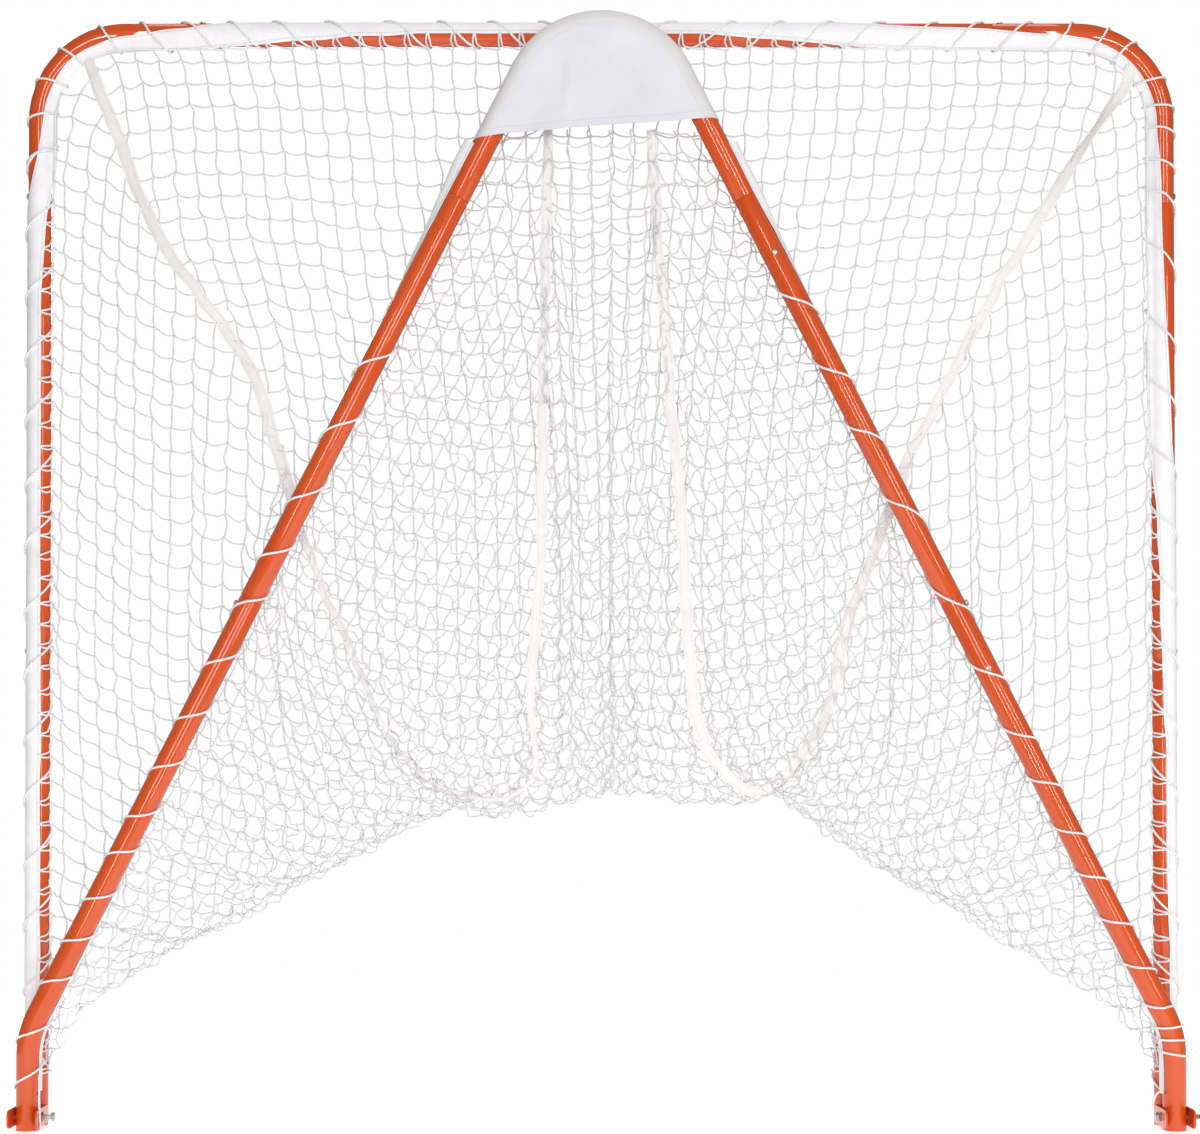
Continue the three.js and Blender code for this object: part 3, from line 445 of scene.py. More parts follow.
def makeCanvas():
    # woven canvas: plain weave, faint creases and a stitched seam beside the tube and along the hem; a thin
    # line at the binding's edge and at the hem's fold is painted darker, as painted shade
    # the layout gives metres in from the tube's middle line, and metres up from the hem
    material = newMaterial("coverCanvas", canvas["colour"], 0.78, Sheen_Weight=0.2, Sheen_Roughness=0.4)
    w = Wiring(material)
    inwards, upwards = w.flat()
    place = w.node("ShaderNodeSeparateXYZ")
    w.join(w.place(), place.inputs[0])
    acrossPlace, upPlace = place.outputs[0], place.outputs[2]
    perThread = 2 * math.pi / canvas["thread"]
    weave = w.math("MULTIPLY", w.wave(acrossPlace, perThread), w.wave(upPlace, perThread))
    cloud = w.noise(14.0, 4.0, 0.55)
    panel, binding = w.ramp(cloud, 0.3, 0.7, *canvas["panel"]), w.ramp(cloud, 0.3, 0.7, *canvas["binding"])
    onBinding = w.math("LESS_THAN", inwards, canvas["bindingWide"])
    cloth = w.mix(onBinding, panel, binding)
    alongSeam, alongHem = w.wave(w.math("ADD", upPlace, acrossPlace), 1500.0), w.wave(acrossPlace, 1600.0)
    seam = w.math("MULTIPLY", w.math("COMPARE", inwards, canvas["seamIn"], canvas["lineHalf"]),
                  w.math("GREATER_THAN", alongSeam, -0.3))
    hem = w.math("MULTIPLY", w.math("COMPARE", upwards, canvas["hemUp"], canvas["lineHalf"]),
                 w.math("GREATER_THAN", alongHem, -0.3))
    stitches = w.math("MAXIMUM", seam, hem)
    # painted shade: a thin dark line at the binding's edge and at the hem's fold, also a dent in the bump
    edgeLine = w.math("MAXIMUM", w.math("COMPARE", inwards, canvas["bindingWide"], 0.0005),
                      w.math("COMPARE", upwards, canvas["hemFold"], 0.0005))
    lined = w.mix(w.math("MULTIPLY", edgeLine, 0.35), cloth, canvas["line"])
    w.colour(w.mix(w.math("MULTIPLY", stitches, 0.6), lined, canvas["stitch"]))
    relief = w.math("MULTIPLY_ADD", stitches, 1.2, w.math("MULTIPLY", weave, 0.3))
    weaveNormal = w.bump(w.math("SUBTRACT", relief, edgeLine), 0.45, 0.0004)
    w.bump(w.noise(22.0, 5.0, 0.55), 0.25, 0.004, before=weaveNormal)
    return material


framePaint = makeFramePaint()
zincSteel = makeZinc()
edgeTape, strapTape = makeWebbing("edgeTape"), makeWebbing("strapTape")
lacingCord, netTwine, knotTwine = (makeCordLook(name) for name in ("lacingCord", "netTwine", "knotTwine"))
coverCanvas = makeCanvas()
print("stage 1: materials made")

steel = {
    "wall": 1.5,
    "edge": 0.5,         # rounding at a cut end
    "segments": 56,
    "spigotRadius": 17.2,
    "spigotLength": 70.0,
    "seamGap": 0.3,
    # heights of the seams, and the crossbar tubes' outer ends across
    "cornerZ": 1525.0,
    "postZ": 768.0,
    "apexZ": 1522.0,
    "legZ": 863.0,
    "barX": 648.5,
    "cordHole": {"height": 61.0, "radius": 2.5, "turn": 70.0},    # degrees from the camera side inwards
    "hingeHole": {"height": 21.5, "radius": 4.4},
}


def tubeRings(path, spigotStart, spigotEnd):
    # (place, direction, radius) rings: out along the outside, back along the bore
    line = np.asarray(path, float)
    along = tangentsOf(line)
    run = runsOf(line)
    length = run[-1]

    def ringAt(s, radius):
        if s <= 0:
            return line[0] + along[0] * s, along[0], radius
        if s >= length:
            return line[-1] + along[-1] * (s - length), along[-1], radius
        return onLine(s, run, line), unit(onLine(s, run, along)), radius

    edge, wall = steel["edge"], steel["wall"]
    spigot, reach = steel["spigotRadius"], steel["spigotLength"]
    inner = tubeR - wall
    middle = [s for s in run[1:-1] if 2 * edge < s < length - 2 * edge]
    outside = [(0, tubeR - edge), (edge * 0.3, tubeR - edge * 0.3), (edge, tubeR)]
    outside += [(s, tubeR) for s in middle]
    outside += [(length - edge, tubeR), (length - edge * 0.3, tubeR - edge * 0.3), (length, tubeR - edge)]
    inside = [(length, inner)] + [(s, inner) for s in reversed(middle)] + [(0, inner)]
    if spigotStart:
        outside = [(-reach, spigot - 1), (1 - reach, spigot), (-0.2, spigot)] + outside
        inside = inside[:-1] + [(2, inner), (0, spigot - wall), (-reach, spigot - wall)]
    if spigotEnd:
        outside += [(length + 0.2, spigot), (length + reach - 1, spigot), (length + reach, spigot - 1)]
        inside = [(length + reach, spigot - wall), (length, spigot - wall), (length - 2, inner)] + inside[1:]
    return [ringAt(s, r) for s, r in outside + inside]


def steelTube(name, path, body, spigotStart=False, spigotEnd=False, holes=()):
    rings = tubeRings(path, spigotStart, spigotEnd)
    count = steel["segments"]
    angle = np.arange(count) * 2 * math.pi / count
    points, uvs = [], []
    for spot, way, radius in rings:
        sideways = np.array([way[1], 0.0, -way[0]])
        out = np.cos(angle)[:, None] * sideways - np.sin(angle)[:, None] * towardsCamera
        points.append(spotsAt(spot, planes[body]) + radius * out)
        uvs.append(np.stack([np.full(count, spot[1] * millimetre), angle / (2 * math.pi)], 1))
    faces = gridFaces(len(rings), count, True).tolist() + closingFaces(len(rings), count)
    piece = makeObject(name, np.concatenate(points), faces, [framePaint], np.concatenate(uvs))
    for start, way, radius, length in holes:
        drill(piece, start, way, radius, length)
    edgesByAngle(piece, 40)
    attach(piece, body)
    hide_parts(name)


def drill(piece, start, way, radius, length):
    # cuts a round hole from a point along a direction
    cutter = bmesh.new()
    turn = Vector(way).to_track_quat("Z", "Y").to_matrix().to_4x4()
    middle = (Vector(start) + Vector(way) * length / 2) * millimetre
    bmesh.ops.create_cone(cutter, cap_ends=True, segments=24, radius1=radius * millimetre,
                          radius2=radius * millimetre, depth=length * millimetre,
                          matrix=Matrix.Translation(middle) @ turn)
    mesh = bpy.data.meshes.new("drill")
    cutter.to_mesh(mesh)
    cutter.free()
    tool = bpy.data.objects.new("drill", mesh)
    bpy.context.scene.collection.objects.link(tool)
    modifier = piece.modifiers.new("hole", "BOOLEAN")
    modifier.operation, modifier.solver, modifier.object = "DIFFERENCE", "EXACT", tool
    applyModifiers(piece)
    bpy.data.objects.remove(tool)


def applyModifiers(piece):
    shaped = piece.evaluated_get(bpy.context.evaluated_depsgraph_get())
    mesh = bpy.data.meshes.new_from_object(shaped)
    piece.modifiers.clear()
    old = piece.data
    piece.data = mesh
    bpy.data.meshes.remove(old)
    mesh.name = piece.name


def edgesByAngle(piece, degrees):
    # smooth shading, with the edges sharper than the angle left crisp
    mesh = piece.data
    mesh.polygons.foreach_set("use_smooth", [True] * len(mesh.polygons))
    mesh.set_sharp_from_angle(angle=math.radians(degrees))


def legX(z):
    return (layout["peakZ"] - z) * layout["legSlope"]


def buildTubes():
    gap, barX = steel["seamGap"], steel["barX"]
    elbow, foot = layout["elbowRadius"], layout["footRadius"]
    cornerZ, postZ, apexZ, legZ = (steel[key] for key in ("cornerZ", "postZ", "apexZ", "legZ"))
    cordHole, hingeHole = steel["cordHole"], steel["hingeHole"]
    turn = math.radians(cordHole["turn"])
    legWay = unit(np.array([-layout["legSlope"], 1.0]))
    for name, side in sides:
        x = side * postX
        corner = roundedPath([(x, cornerZ + gap), (x, barZ, elbow), (side * (barX + gap), barZ)])
        steelTube(f"corner_tube_{name}", corner, "front_frame")
        steelTube(f"post_tube_middle_{name}", [(x, postZ + gap), (x, cornerZ)], "front_frame", spigotEnd=True)
        steelTube(f"post_tube_lower_{name}", [(x, 0), (x, postZ)], "front_frame", spigotEnd=True)
        steelTube(f"crossbar_tube_{name}", [(side * gap / 2, barZ), (side * barX, barZ)], "front_frame",
                  spigotStart=side > 0, spigotEnd=True)

        def leg(z, further=0.0):
            spot = np.array([legX(z), z]) + legWay * further
            return (side * spot[0], spot[1])

        steelTube(f"leg_tube_middle_{name}", [leg(legZ, gap / 2), leg(apexZ, -gap / 2)], "ground_frame",
                  spigotStart=True, spigotEnd=True)
        holes = [((x, legY, cordHole["height"]), (-side * math.sin(turn), -math.cos(turn), 0),
                  cordHole["radius"], 30.0),
                 ((x - 30, legY, hingeHole["height"]), (1, 0, 0), hingeHole["radius"], 60.0)]
        lower = roundedPath([(x, 0), (x, layout["footBendZ"], foot), leg(legZ, -gap / 2)])
        steelTube(f"leg_tube_lower_{name}", lower, "ground_frame", holes=holes)
    left = (-legX(apexZ) + gap * 0.45, apexZ + gap * 0.89)    # the gap, measured along the leg
    apex = roundedPath([left, (0, layout["peakZ"], elbow), (-left[0], left[1])])
    steelTube("apex_tube", apex, "ground_frame")


buildTubes()
print("stage 2: tubes made")

fasteners = {
    "screw": {"radius": 3.0, "head": 5.5, "headHeight": 2.8, "length": 40.3, "recess": 2.6},
    "bracketScrew": {"radius": 3.0, "head": 6.0, "headHeight": 3.0, "length": 12.0, "recess": 2.8},
    "legScrew": {"radius": 2.2, "head": 4.5, "headHeight": 2.2, "length": 10.0, "recess": 2.0},
    "bolt": {"radius": 4.0, "length": 70.0, "across": 13.0, "headHeight": 5.3, "thread": 26.0, "pitch": 1.25},
    "nut": {"across": 13.0, "height": 6.5, "hole": 4.3},
    "washer": {"inner": 4.6, "outer": 8.0, "height": 1.6},
}


def turnedPiece(name, profile, place, axis, body, count=48, shape=None, hollow=False):
    # turns (radius, height) pairs round an axis; shape changes a radius by height and angle
    profile = np.asarray(profile, float)
    angle = np.arange(count) * 2 * math.pi / count
    radius = np.repeat(profile[:, :1], count, 1)
    height = np.repeat(profile[:, 1:2], count, 1)
    if shape is not None:
        radius = shape(radius, height, np.broadcast_to(angle, radius.shape))
    turn = np.array(Vector(axis).to_track_quat("Z", "Y").to_matrix())
    local = np.stack([radius * np.cos(angle), radius * np.sin(angle), height], -1).reshape(-1, 3)
    points = local @ turn.T + np.array(place)
    closing = closingFaces if hollow else endFaces
    faces = gridFaces(len(profile), count, True).tolist() + closing(len(profile), count)
    piece = makeObject(name, points, faces, [zincSteel])
    edgesByAngle(piece, 32)
    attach(piece, body)
    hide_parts(name)


def hexRadius(angle, across):
    sector = math.pi / 3
    return across / 2 / np.cos(np.mod(angle + sector / 2, sector) - sector / 2)


def panScrew(name, sizes, tip, axis, body):
    # a screw whose tip is at a place and whose head is up the axis, with a cross-shaped recess
    r, length = sizes["radius"], sizes["length"]
    head, high = sizes["head"], sizes["headHeight"]
    profile = [(0.3, 0), (r - 0.4, 0.8), (r, 2), (r, length), (head, length), (head, length + high * 0.25)]
    for share in (0.5, 0.75, 0.92):
        up = length + high * (0.25 + 0.75 * math.sin(share * math.pi / 2))
        profile.append((head * math.cos(share * 1.35), up))
    flat = head * math.cos(0.92 * 1.35)
    top = length + high
    recess = min(sizes["recess"], flat * 0.94)
    profile += [(recess, top), (recess * 0.8, top - high * 0.55), (0.2, top - high * 0.6)]

    def crossRecess(radius, height, angle):
        lobes = np.abs(np.cos(2 * angle))
        inRecess = np.zeros_like(radius)
        inRecess[-3:-1] = 1
        return radius * (1 - inRecess * (0.62 * (1 - lobes ** 0.6)))    # narrow between the cross's arms

    turnedPiece(name, profile, tip, axis, body, count=40, shape=crossRecess)


def hingeBolt(name, place, axis):
    bolt = fasteners["bolt"]
    r, length, high = bolt["radius"], bolt["length"], bolt["headHeight"]
    head = bolt["across"] / 2
    profile = [(head * 0.93, -high), (head * 1.02, -high + 0.35), (head * 1.155, -high + 1.0),
               (head * 1.155, -0.6), (head * 1.0, 0), (r, 0)]
    start = length - bolt["thread"]
    turns = int(bolt["thread"] / bolt["pitch"])
    profile += [(r, start * share) for share in (0.3, 0.6, 1.0)]
    for k in range(turns):   # thread crests and roots
        z = start + (k + 0.5) * bolt["pitch"]
        profile += [(r - 0.55, z), (r, z + bolt["pitch"] / 2)]
    profile += [(r - 0.8, length)]

    def hexHead(radius, height, angle):
        inHead = height < -0.01
        return np.where(inHead, np.minimum(radius, hexRadius(angle, bolt["across"])), radius)

    turnedPiece(name, profile, place, axis, "front_frame", shape=hexHead)


def hingeNut(name, place, axis):
    nut = fasteners["nut"]
    hole, head, high = nut["hole"], nut["across"] / 2, nut["height"]
    profile = [(hole, 0.4), (hole + 0.4, 0), (head * 0.97, 0), (head * 1.155, 0.9),
               (head * 1.155, high - 0.9), (head * 0.97, high), (hole + 0.4, high), (hole, high - 0.4)]

    def hexSides(radius, height, angle):
        return np.where(radius > hole + 1, np.minimum(radius, hexRadius(angle, nut["across"])), radius)

    turnedPiece(name, profile, place, axis, "front_frame", shape=hexSides, hollow=True)


def hingeWasher(name, place, axis):
    inner, outer, high = (fasteners["washer"][key] for key in ("inner", "outer", "height"))
    profile = [(inner, 0.2), (inner + 0.2, 0), (outer - 0.4, 0), (outer, 0.3), (outer, high - 0.3),
               (outer - 0.4, high), (inner + 0.2, high), (inner, high - 0.2)]
    turnedPiece(name, profile, place, axis, "front_frame", hollow=True)


def centreOf(node):
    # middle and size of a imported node's box
    low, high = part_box(node)
    return np.array((low + high) / 2) / millimetre, np.array(high - low) / millimetre


def throughScrew(node, way, body):
    sizes = fasteners["screw"]
    reach = (sizes["length"] + sizes["headHeight"]) / 2
    panScrew(node, sizes, centreOf(node)[0] - np.array(way) * reach, way, body)


def shortScrew(node, kind, body):
    middle, size = centreOf(node)
    panScrew(node, fasteners[kind], middle + np.array([0, size[1] / 2, 0]), (0, -1, 0), body)


def buildFasteners():
    acrossLeg = unit(np.array([1.0, 0.0, layout["legSlope"]]))
    for name, side in sides:
        outwards, tilted = (side, 0, 0), (side * acrossLeg[0], 0, acrossLeg[2])
        throughScrew(f"corner_post_screw_{name}", outwards, "front_frame")
        throughScrew(f"corner_bar_screw_{name}", (0, 0, 1), "front_frame")
        throughScrew(f"post_screw_{name}", outwards, "front_frame")
        throughScrew(f"apex_screw_{name}", tilted, "ground_frame")
        throughScrew(f"leg_screw_{name}", tilted, "ground_frame")
        shortScrew(f"bracket_screw_{name}", "bracketScrew", "front_frame")
        for part, make in (("bolt", hingeBolt), ("nut", hingeNut), ("washer", hingeWasher)):
            middle, size = centreOf(f"hinge_{part}_{name}")
            inner = size[0] / 2 - (fasteners["bolt"]["headHeight"] if part == "bolt" else 0)
            make(f"hinge_{part}_{name}", middle - np.array(outwards) * inner, outwards)
        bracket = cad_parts[f"hinge_bracket_{name}"]
        bracket.data.materials.clear()
        bracket.data.materials.append(framePaint)
        edgesByAngle(bracket, 40)
    throughScrew("crossbar_screw", (0, 0, 1), "front_frame")
    for k in (1, 2):
        shortScrew(f"leg_front_screw_{k}", "legScrew", "ground_frame")


buildFasteners()
print("stage 3: fasteners made")

tape = {
    "thickness": 0.9,
    "across": 16,          # strips across its width
    "step": 7.0,
    "low": tubeR + 0.45,   # radius of its underside
    "foot": 70.0,          # height where it begins on a post
    "legFoot": 64.0,       # run where it begins on a leg
    "legEnd": 42.0,        # how far short of the line's end, inside the cover, it stops
    "legTop": 1640.0,
    "arcStep": 1.5,        # degrees
    # slow random waves of its edges and its turn, in degrees or millimetres: (spacing, amount)
    "outerWave": (90.0, 1.6),
    "innerWave": (55.0, 2.0),
    "freeWave": (38.0, 1.4),
    "legWave": (90.0, 2.5),
    # (distance along the tube from the middle of an elbow, outer edge, inner edge): the edges are in degrees
    # round the tube, from the camera side towards the inside of the mouth
    "postLeft": [(0, 30, 96), (60, 36, 98), (113, 28, 98), (140, 15, 97), (180, -4, 93), (220, -33, 84),
                 (250, -62, 62), (270, -85, 44), (320, -98, 35), (400, -98, 21), (700, -95, 19),
                 (1100, -100, 24), (1800, -100, 24)],
    "barLeft": [(0, 30, 96), (60, 36, 98), (113, 20, 98), (140, 12, 98), (180, -11, 96), (220, -17, 90),
                (260, -43, 76), (300, -66, 69), (330, -88, 62), (375, -100, 50), (400, -105, 45),
                (480, -112, 26), (600, -118, 11), (950, -120, 8)],
    "barRight": [(0, 44, 100), (60, 38, 100), (113, 24, 100), (140, 13, 98), (180, 10, 96), (220, 0, 93),
                 (260, -12, 91), (320, -22, 86), (400, -30, 80), (471, -50, 72), (513, -70, 62),
                 (596, -98, 38), (650, -105, 30), (737, -115, 9), (950, -120, 8)],
    "postRight": [(0, 44, 100), (60, 46, 100), (113, 39, 100), (140, 35, 100), (180, 21, 100), (220, 15, 100),
                  (320, 10, 98), (400, 2, 95), (500, -13, 93), (574, -22, 92), (650, -30, 85), (700, -50, 68),
                  (740, -75, 52), (840, -90, 33), (1172, -105, 8), (1487, -110, -4), (1800, -112, -8)],
    "leaveFrom": 60.0,     # an inner edge further round than this stands free of the tube
    "leaveAt": 55.0,
    "freeWay": 35.0,       # degrees that the free part turns back from straight inwards
    # the ground frame's: height, middle in degrees, half its width in degrees, how far its middle stands off
    "leg": [(50, -225, 59, 4.0), (300, -215, 59, 5.0), (450, -195, 59, 2.0), (600, -172, 59, 0.6),
            (1100, -172, 59, 0.6), (1300, -150, 59, 1.0), (1400, -125, 56, 6.0), (1500, -105, 50, 10.0),
            (1620, -98, 47, 13.0), (1700, -98, 47, 13.0)],
}


def smoothStep(x):
    x = np.clip(x, 0, 1)
    return x * x * (3 - 2 * x)


def roughLine(count, step, spread, amount):
    # a slow random wave along a line
    knots = rng.normal(0, 1, int(count * step / spread) + 4)
    at = np.arange(count) * step / spread
    low = at.astype(int)
    t = at - low
    t = t * t * (3 - 2 * t)
    return amount * (knots[low] * (1 - t) + knots[low + 1] * t)


def roughFor(count, step):
    # the same wave for one line, by spacing and amount
    return lambda spread, amount: roughLine(count, step, spread, amount)


def fromTable(table, at):
    table = np.asarray(table, float)
    return [np.interp(at, table[:, 0], table[:, k]) for k in range(1, table.shape[1])]


mouthCorners = [(-postX, 0), (-postX, barZ, layout["elbowRadius"]),
                (postX, barZ, layout["elbowRadius"]), (postX, 0)]
mouthLine = evenly(roundedPath(mouthCorners, tape["arcStep"]), tape["step"])
mouthRun = runsOf(mouthLine)
mouthLength = mouthRun[-1]
elbowMiddle = barZ - layout["elbowRadius"] + math.pi / 4 * layout["elbowRadius"]


def legLineOf(side):
    corners = [(side * postX, 0), (side * postX, layout["footBendZ"], layout["footRadius"]),
               (side * legX(tape["legTop"]), tape["legTop"])]
    return evenly(roundedPath(corners, tape["arcStep"]), tape["step"])


def between(line, start, end, step):
    # the part of a line from one run to another, with even steps
    run = runsOf(line)
    at = np.linspace(start, end, max(2, int(round((end - start) / step)) + 1))
    return onLine(at, run, line), at


def mouthEdges(run):
    # the tape's outer and inner edges at runs along the mouth frame
    run = np.asarray(run, float)
    choices = ((run < elbowMiddle, "postLeft", elbowMiddle - run),
               ((run >= elbowMiddle) & (run < mouthLength / 2), "barLeft", run - elbowMiddle),
               ((run >= mouthLength / 2) & (run < mouthLength - elbowMiddle), "barRight",
                mouthLength - elbowMiddle - run),
               (run >= mouthLength - elbowMiddle, "postRight", run - mouthLength + elbowMiddle))
    outer, inner = np.zeros_like(run), np.zeros_like(run)
    for here, name, distance in choices:
        tableOuter, tableInner = fromTable(tape[name], distance)
        outer, inner = np.where(here, tableOuter, outer), np.where(here, tableInner, inner)
    return outer, inner


def freePart(inner):
    # where the tape leaves the tube, in degrees, and the length that stands free
    leave = inner - (inner - tape["leaveAt"]) * smoothStep((inner - tape["leaveFrom"]) / 30)
    return leave, np.radians(inner - leave) * tape["low"]


def stripPiece(name, line, upper, lower, material, crispFrom):
    # a strip of webbing along a line, from the points of its upper and its lower side
    ring = np.concatenate([upper, lower[:, ::-1]], 1)
    faces = gridFaces(*ring.shape[:2], True).tolist() + endFaces(*ring.shape[:2])
    run = runsOf(line) * millimetre
    spread = np.linspace(-1, 1, upper.shape[1])
    uvs = np.stack(np.broadcast_arrays(run[:, None], np.concatenate([spread, spread[::-1]])[None]), -1)
    piece = makeObject(name, ring.reshape(-1, 3), faces, [material], uvs.reshape(-1, 2))
    edgesByAngle(piece, crispFrom)
    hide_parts(name)
    return piece


def tapePiece(name, line, inside, inwardOf, heightOf, body):
    # a tape along a tube: inwardOf and heightOf give its section, across the tube and towards the camera
    way = tangentsOf(line)
    inward = np.stack([-way[:, 1] * inside, np.zeros(len(line)), way[:, 0] * inside], 1)
    middle = spotsAt(line, planes[body])[:, None]
    flat = middle + inwardOf[..., None] * inward[:, None] + heightOf[..., None] * towardsCamera
    along = unit(np.gradient(flat, axis=0))
    normal = unit(np.cross(np.gradient(flat, axis=1), along))
    normal *= np.where(np.sum(normal * (flat - middle), -1, keepdims=True) < 0, -1, 1)
    piece = stripPiece(name, line, flat + normal * tape["thickness"], flat, edgeTape, 50)
    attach(piece, body)


def mouthTape(name, start, end):
    line, run = between(mouthLine, start, end, tape["step"])
    outer, inner = mouthEdges(run)
    fromElbow = np.minimum(np.abs(run - elbowMiddle), np.abs(run - mouthLength + elbowMiddle))
    calm, rough = np.clip(fromElbow / 60, 0, 1), roughFor(len(run), tape["step"])
    outer = outer + rough(*tape["outerWave"]) * calm
    inner = inner + rough(*tape["innerWave"]) * calm
    leave = freePart(inner)[0]
    share = np.linspace(0, 1, tape["across"] + 1)[None]
    along = share * (np.radians(inner - outer) * tape["low"])[:, None]
    onTube = np.radians(leave - outer)[:, None] * tape["low"]
    angle = np.radians(outer)[:, None] + np.minimum(along, onTube) / tape["low"]
    beyond = np.maximum(along - onTube, 0)
    lift = (0.5 + 1.3 * np.abs(rough(45.0, 0.8)))[:, None] * share ** 4 \
        + 0.4 * np.abs(rough(70.0, 0.8))[:, None] * (1 - share) ** 4 \
        + 0.25 * np.abs(rough(22.0, 1.0))[:, None]
    lift = lift * calm[:, None]
    turnBack = math.radians(tape["freeWay"])
    inwardOf = (tape["low"] + lift) * np.sin(angle) + beyond * math.cos(turnBack)
    heightOf = (tape["low"] + lift) * np.cos(angle) - beyond * math.sin(turnBack)
    wave = rough(*tape["freeWave"])[:, None] * (beyond / 15) * calm[:, None]
    tapePiece(name, line, -1, inwardOf, heightOf + wave, "front_frame")


def legTape(name, side):
    line = legLineOf(side)
    run = runsOf(line)
    line, run = between(line, tape["legFoot"], run[-1] - tape["legEnd"], tape["step"])
    middle, half, standOff = fromTable(tape["leg"], line[:, 1])
    spread, rough = np.linspace(-1, 1, tape["across"] + 1)[None], roughFor(len(run), tape["step"])
    middle = middle + rough(*tape["legWave"])
    angle = np.radians(middle[:, None] + spread * half[:, None])
    bump = (standOff * (1 + rough(60.0, 0.12)))[:, None] * np.cos(spread * math.pi / 2) ** 2
    radius = tape["low"] + np.maximum(bump, 0) + 0.3 * np.abs(rough(30.0, 1.0))[:, None]
    tapePiece(name, line, side, radius * np.sin(angle), radius * np.cos(angle), "ground_frame")


def buildTapes():
    foot = tape["foot"]
    mouthTape("post_tape_left", foot, elbowMiddle)
    mouthTape("crossbar_tape", elbowMiddle, mouthLength - elbowMiddle)
    mouthTape("post_tape_right", mouthLength - elbowMiddle, mouthLength - foot)
    for name, side in sides:
        legTape(f"leg_tape_{name}", side)


buildTapes()
print("stage 4: tapes made")

lacing = {
    "perTurn": 28,
    "sidesRound": 9,
    "clearance": 0.3,       # between the bare tube and the cord
    # runs from each foot, up the post and along the bar, where the cord crosses the tube's camera side
    "fromLeft": [148, 243, 352, 448, 562, 655, 768, 868, 981, 1079, 1188, 1290, 1392, 1502, 1608, 1672, 1733,
                 1790, 1860, 1932, 2016, 2086, 2166, 2258, 2362, 2440, 2528, 2610],
    "fromRight": [49, 141, 251, 355, 461, 567, 678, 786, 893, 997, 1101, 1211, 1311, 1440, 1540, 1594, 1650,
                  1688, 1734, 1806, 1848, 1909, 1997, 2077, 2151, 2247, 2327, 2411, 2489, 2600],
    "legLeft": [87, 158, 245, 310, 378, 453, 511, 592, 673, 763, 860, 938, 1031, 1147, 1253],
    "legRight": [124, 148, 168, 200, 265, 338, 412, 484, 565, 641, 742, 857, 1013, 1135, 1233, 1350],
    "tiesStop": 1545.0,     # a post's cord ends and the bar's begins beyond this run
    # how much of a turn's advance is on the camera side, by run from the foot
    "nearShare": [(0, 0.6), (1540, 0.6), (1640, 0.3), (1850, 0.3), (1960, 0.8), (2700, 0.8)],
    "legNearShare": 0.5,
}


def windingPath(line, crossings, y, radiusAt, wayRound, nearOf):
    # one cord round a tube: it crosses the camera side at each given run
    run = runsOf(line)
    way = tangentsOf(line)
    per = lacing["perTurn"]
    # another half turn at each end takes the cord's ends behind the tube
    crossings = np.array([2 * crossings[0] - crossings[1], *crossings, 2 * crossings[-1] - crossings[-2]])
    turns, places = [], []
    for k in range(len(crossings) - 1):
        near = nearOf((crossings[k] + crossings[k + 1]) / 2)
        for step in range(per):
            t = step / per
            share = np.interp(t, [0, 0.25, 0.75, 1], [0, near / 2, 1 - near / 2, 1])
            turns.append(2 * math.pi * (k + t))
            places.append(crossings[k] + (crossings[k + 1] - crossings[k]) * share)
    turns.append(2 * math.pi * (len(crossings) - 1))
    places.append(crossings[-1])
    turns, places = np.array(turns)[per // 2:-per // 2], np.array(places)[per // 2:-per // 2]
    at, way = onLine(places, run, line), unit(onLine(places, run, way))
    across = np.stack([way[:, 1], np.zeros(len(at)), -way[:, 0]], 1) * wayRound
    radius = radiusAt(places, at, np.degrees(np.angle(np.exp(1j * turns))))
    out = np.cos(turns)[:, None] * towardsCamera + np.sin(turns)[:, None] * across
    return spotsAt(at, y) + out * radius[:, None]


def mouthCover(run, angle):
    # radius of whatever a cord has to pass over: the tube, the tape on it or the tape's free edge
    outer, inner = mouthEdges(run)
    leave, free = freePart(inner)
    top = tape["low"] + tape["thickness"]
    turnBack = math.radians(tape["freeWay"])
    tipIn = top * np.sin(np.radians(leave)) + free * math.cos(turnBack)
    tipUp = top * np.cos(np.radians(leave)) - free * math.sin(turnBack)
    tipAngle, tipRadius = np.degrees(np.arctan2(tipIn, tipUp)), np.hypot(tipIn, tipUp)
    rising = np.clip((angle - leave) / np.maximum(tipAngle - leave, 0.1), 0, 1)
    onTape = top + 0.4 + (tipRadius - top) * rising
    starts = smoothStep((angle - outer + 22) / 16)
    ends = 1 - smoothStep((angle - np.maximum(tipAngle, leave)) / 38)
    wrapped = smoothStep((angle - outer - 360 + 22) / 16)
    over, gap = np.maximum(starts * ends, wrapped), lacing["clearance"]
    return tubeR + gap + (onTape - tubeR - gap) * over


def mouthRadius(fromRight):
    def radiusAt(places, at, angle):
        run = mouthLength - places if fromRight else places
        return mouthCover(run, angle) + layout["cordRadius"]
    return radiusAt


def legRadius(places, at, angle):
    middle, half, standOff = fromTable(tape["leg"], at[:, 1])
    apart = np.degrees(np.angle(np.exp(1j * np.radians(angle - middle))))
    over = 1 - smoothStep((np.abs(apart) - half - 4) / 16)
    bump = standOff * np.cos(np.clip(apart / half, -1, 1) * math.pi / 2) ** 2
    return tubeR + lacing["clearance"] + layout["cordRadius"] + (0.5 + tape["thickness"] + bump) * over


def cordPiece(name, path, body, node=None):
    piece = roundCord(name, path, layout["cordRadius"], lacing["sidesRound"])
    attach(piece, body)
    if node:
        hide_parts(node)
    return piece


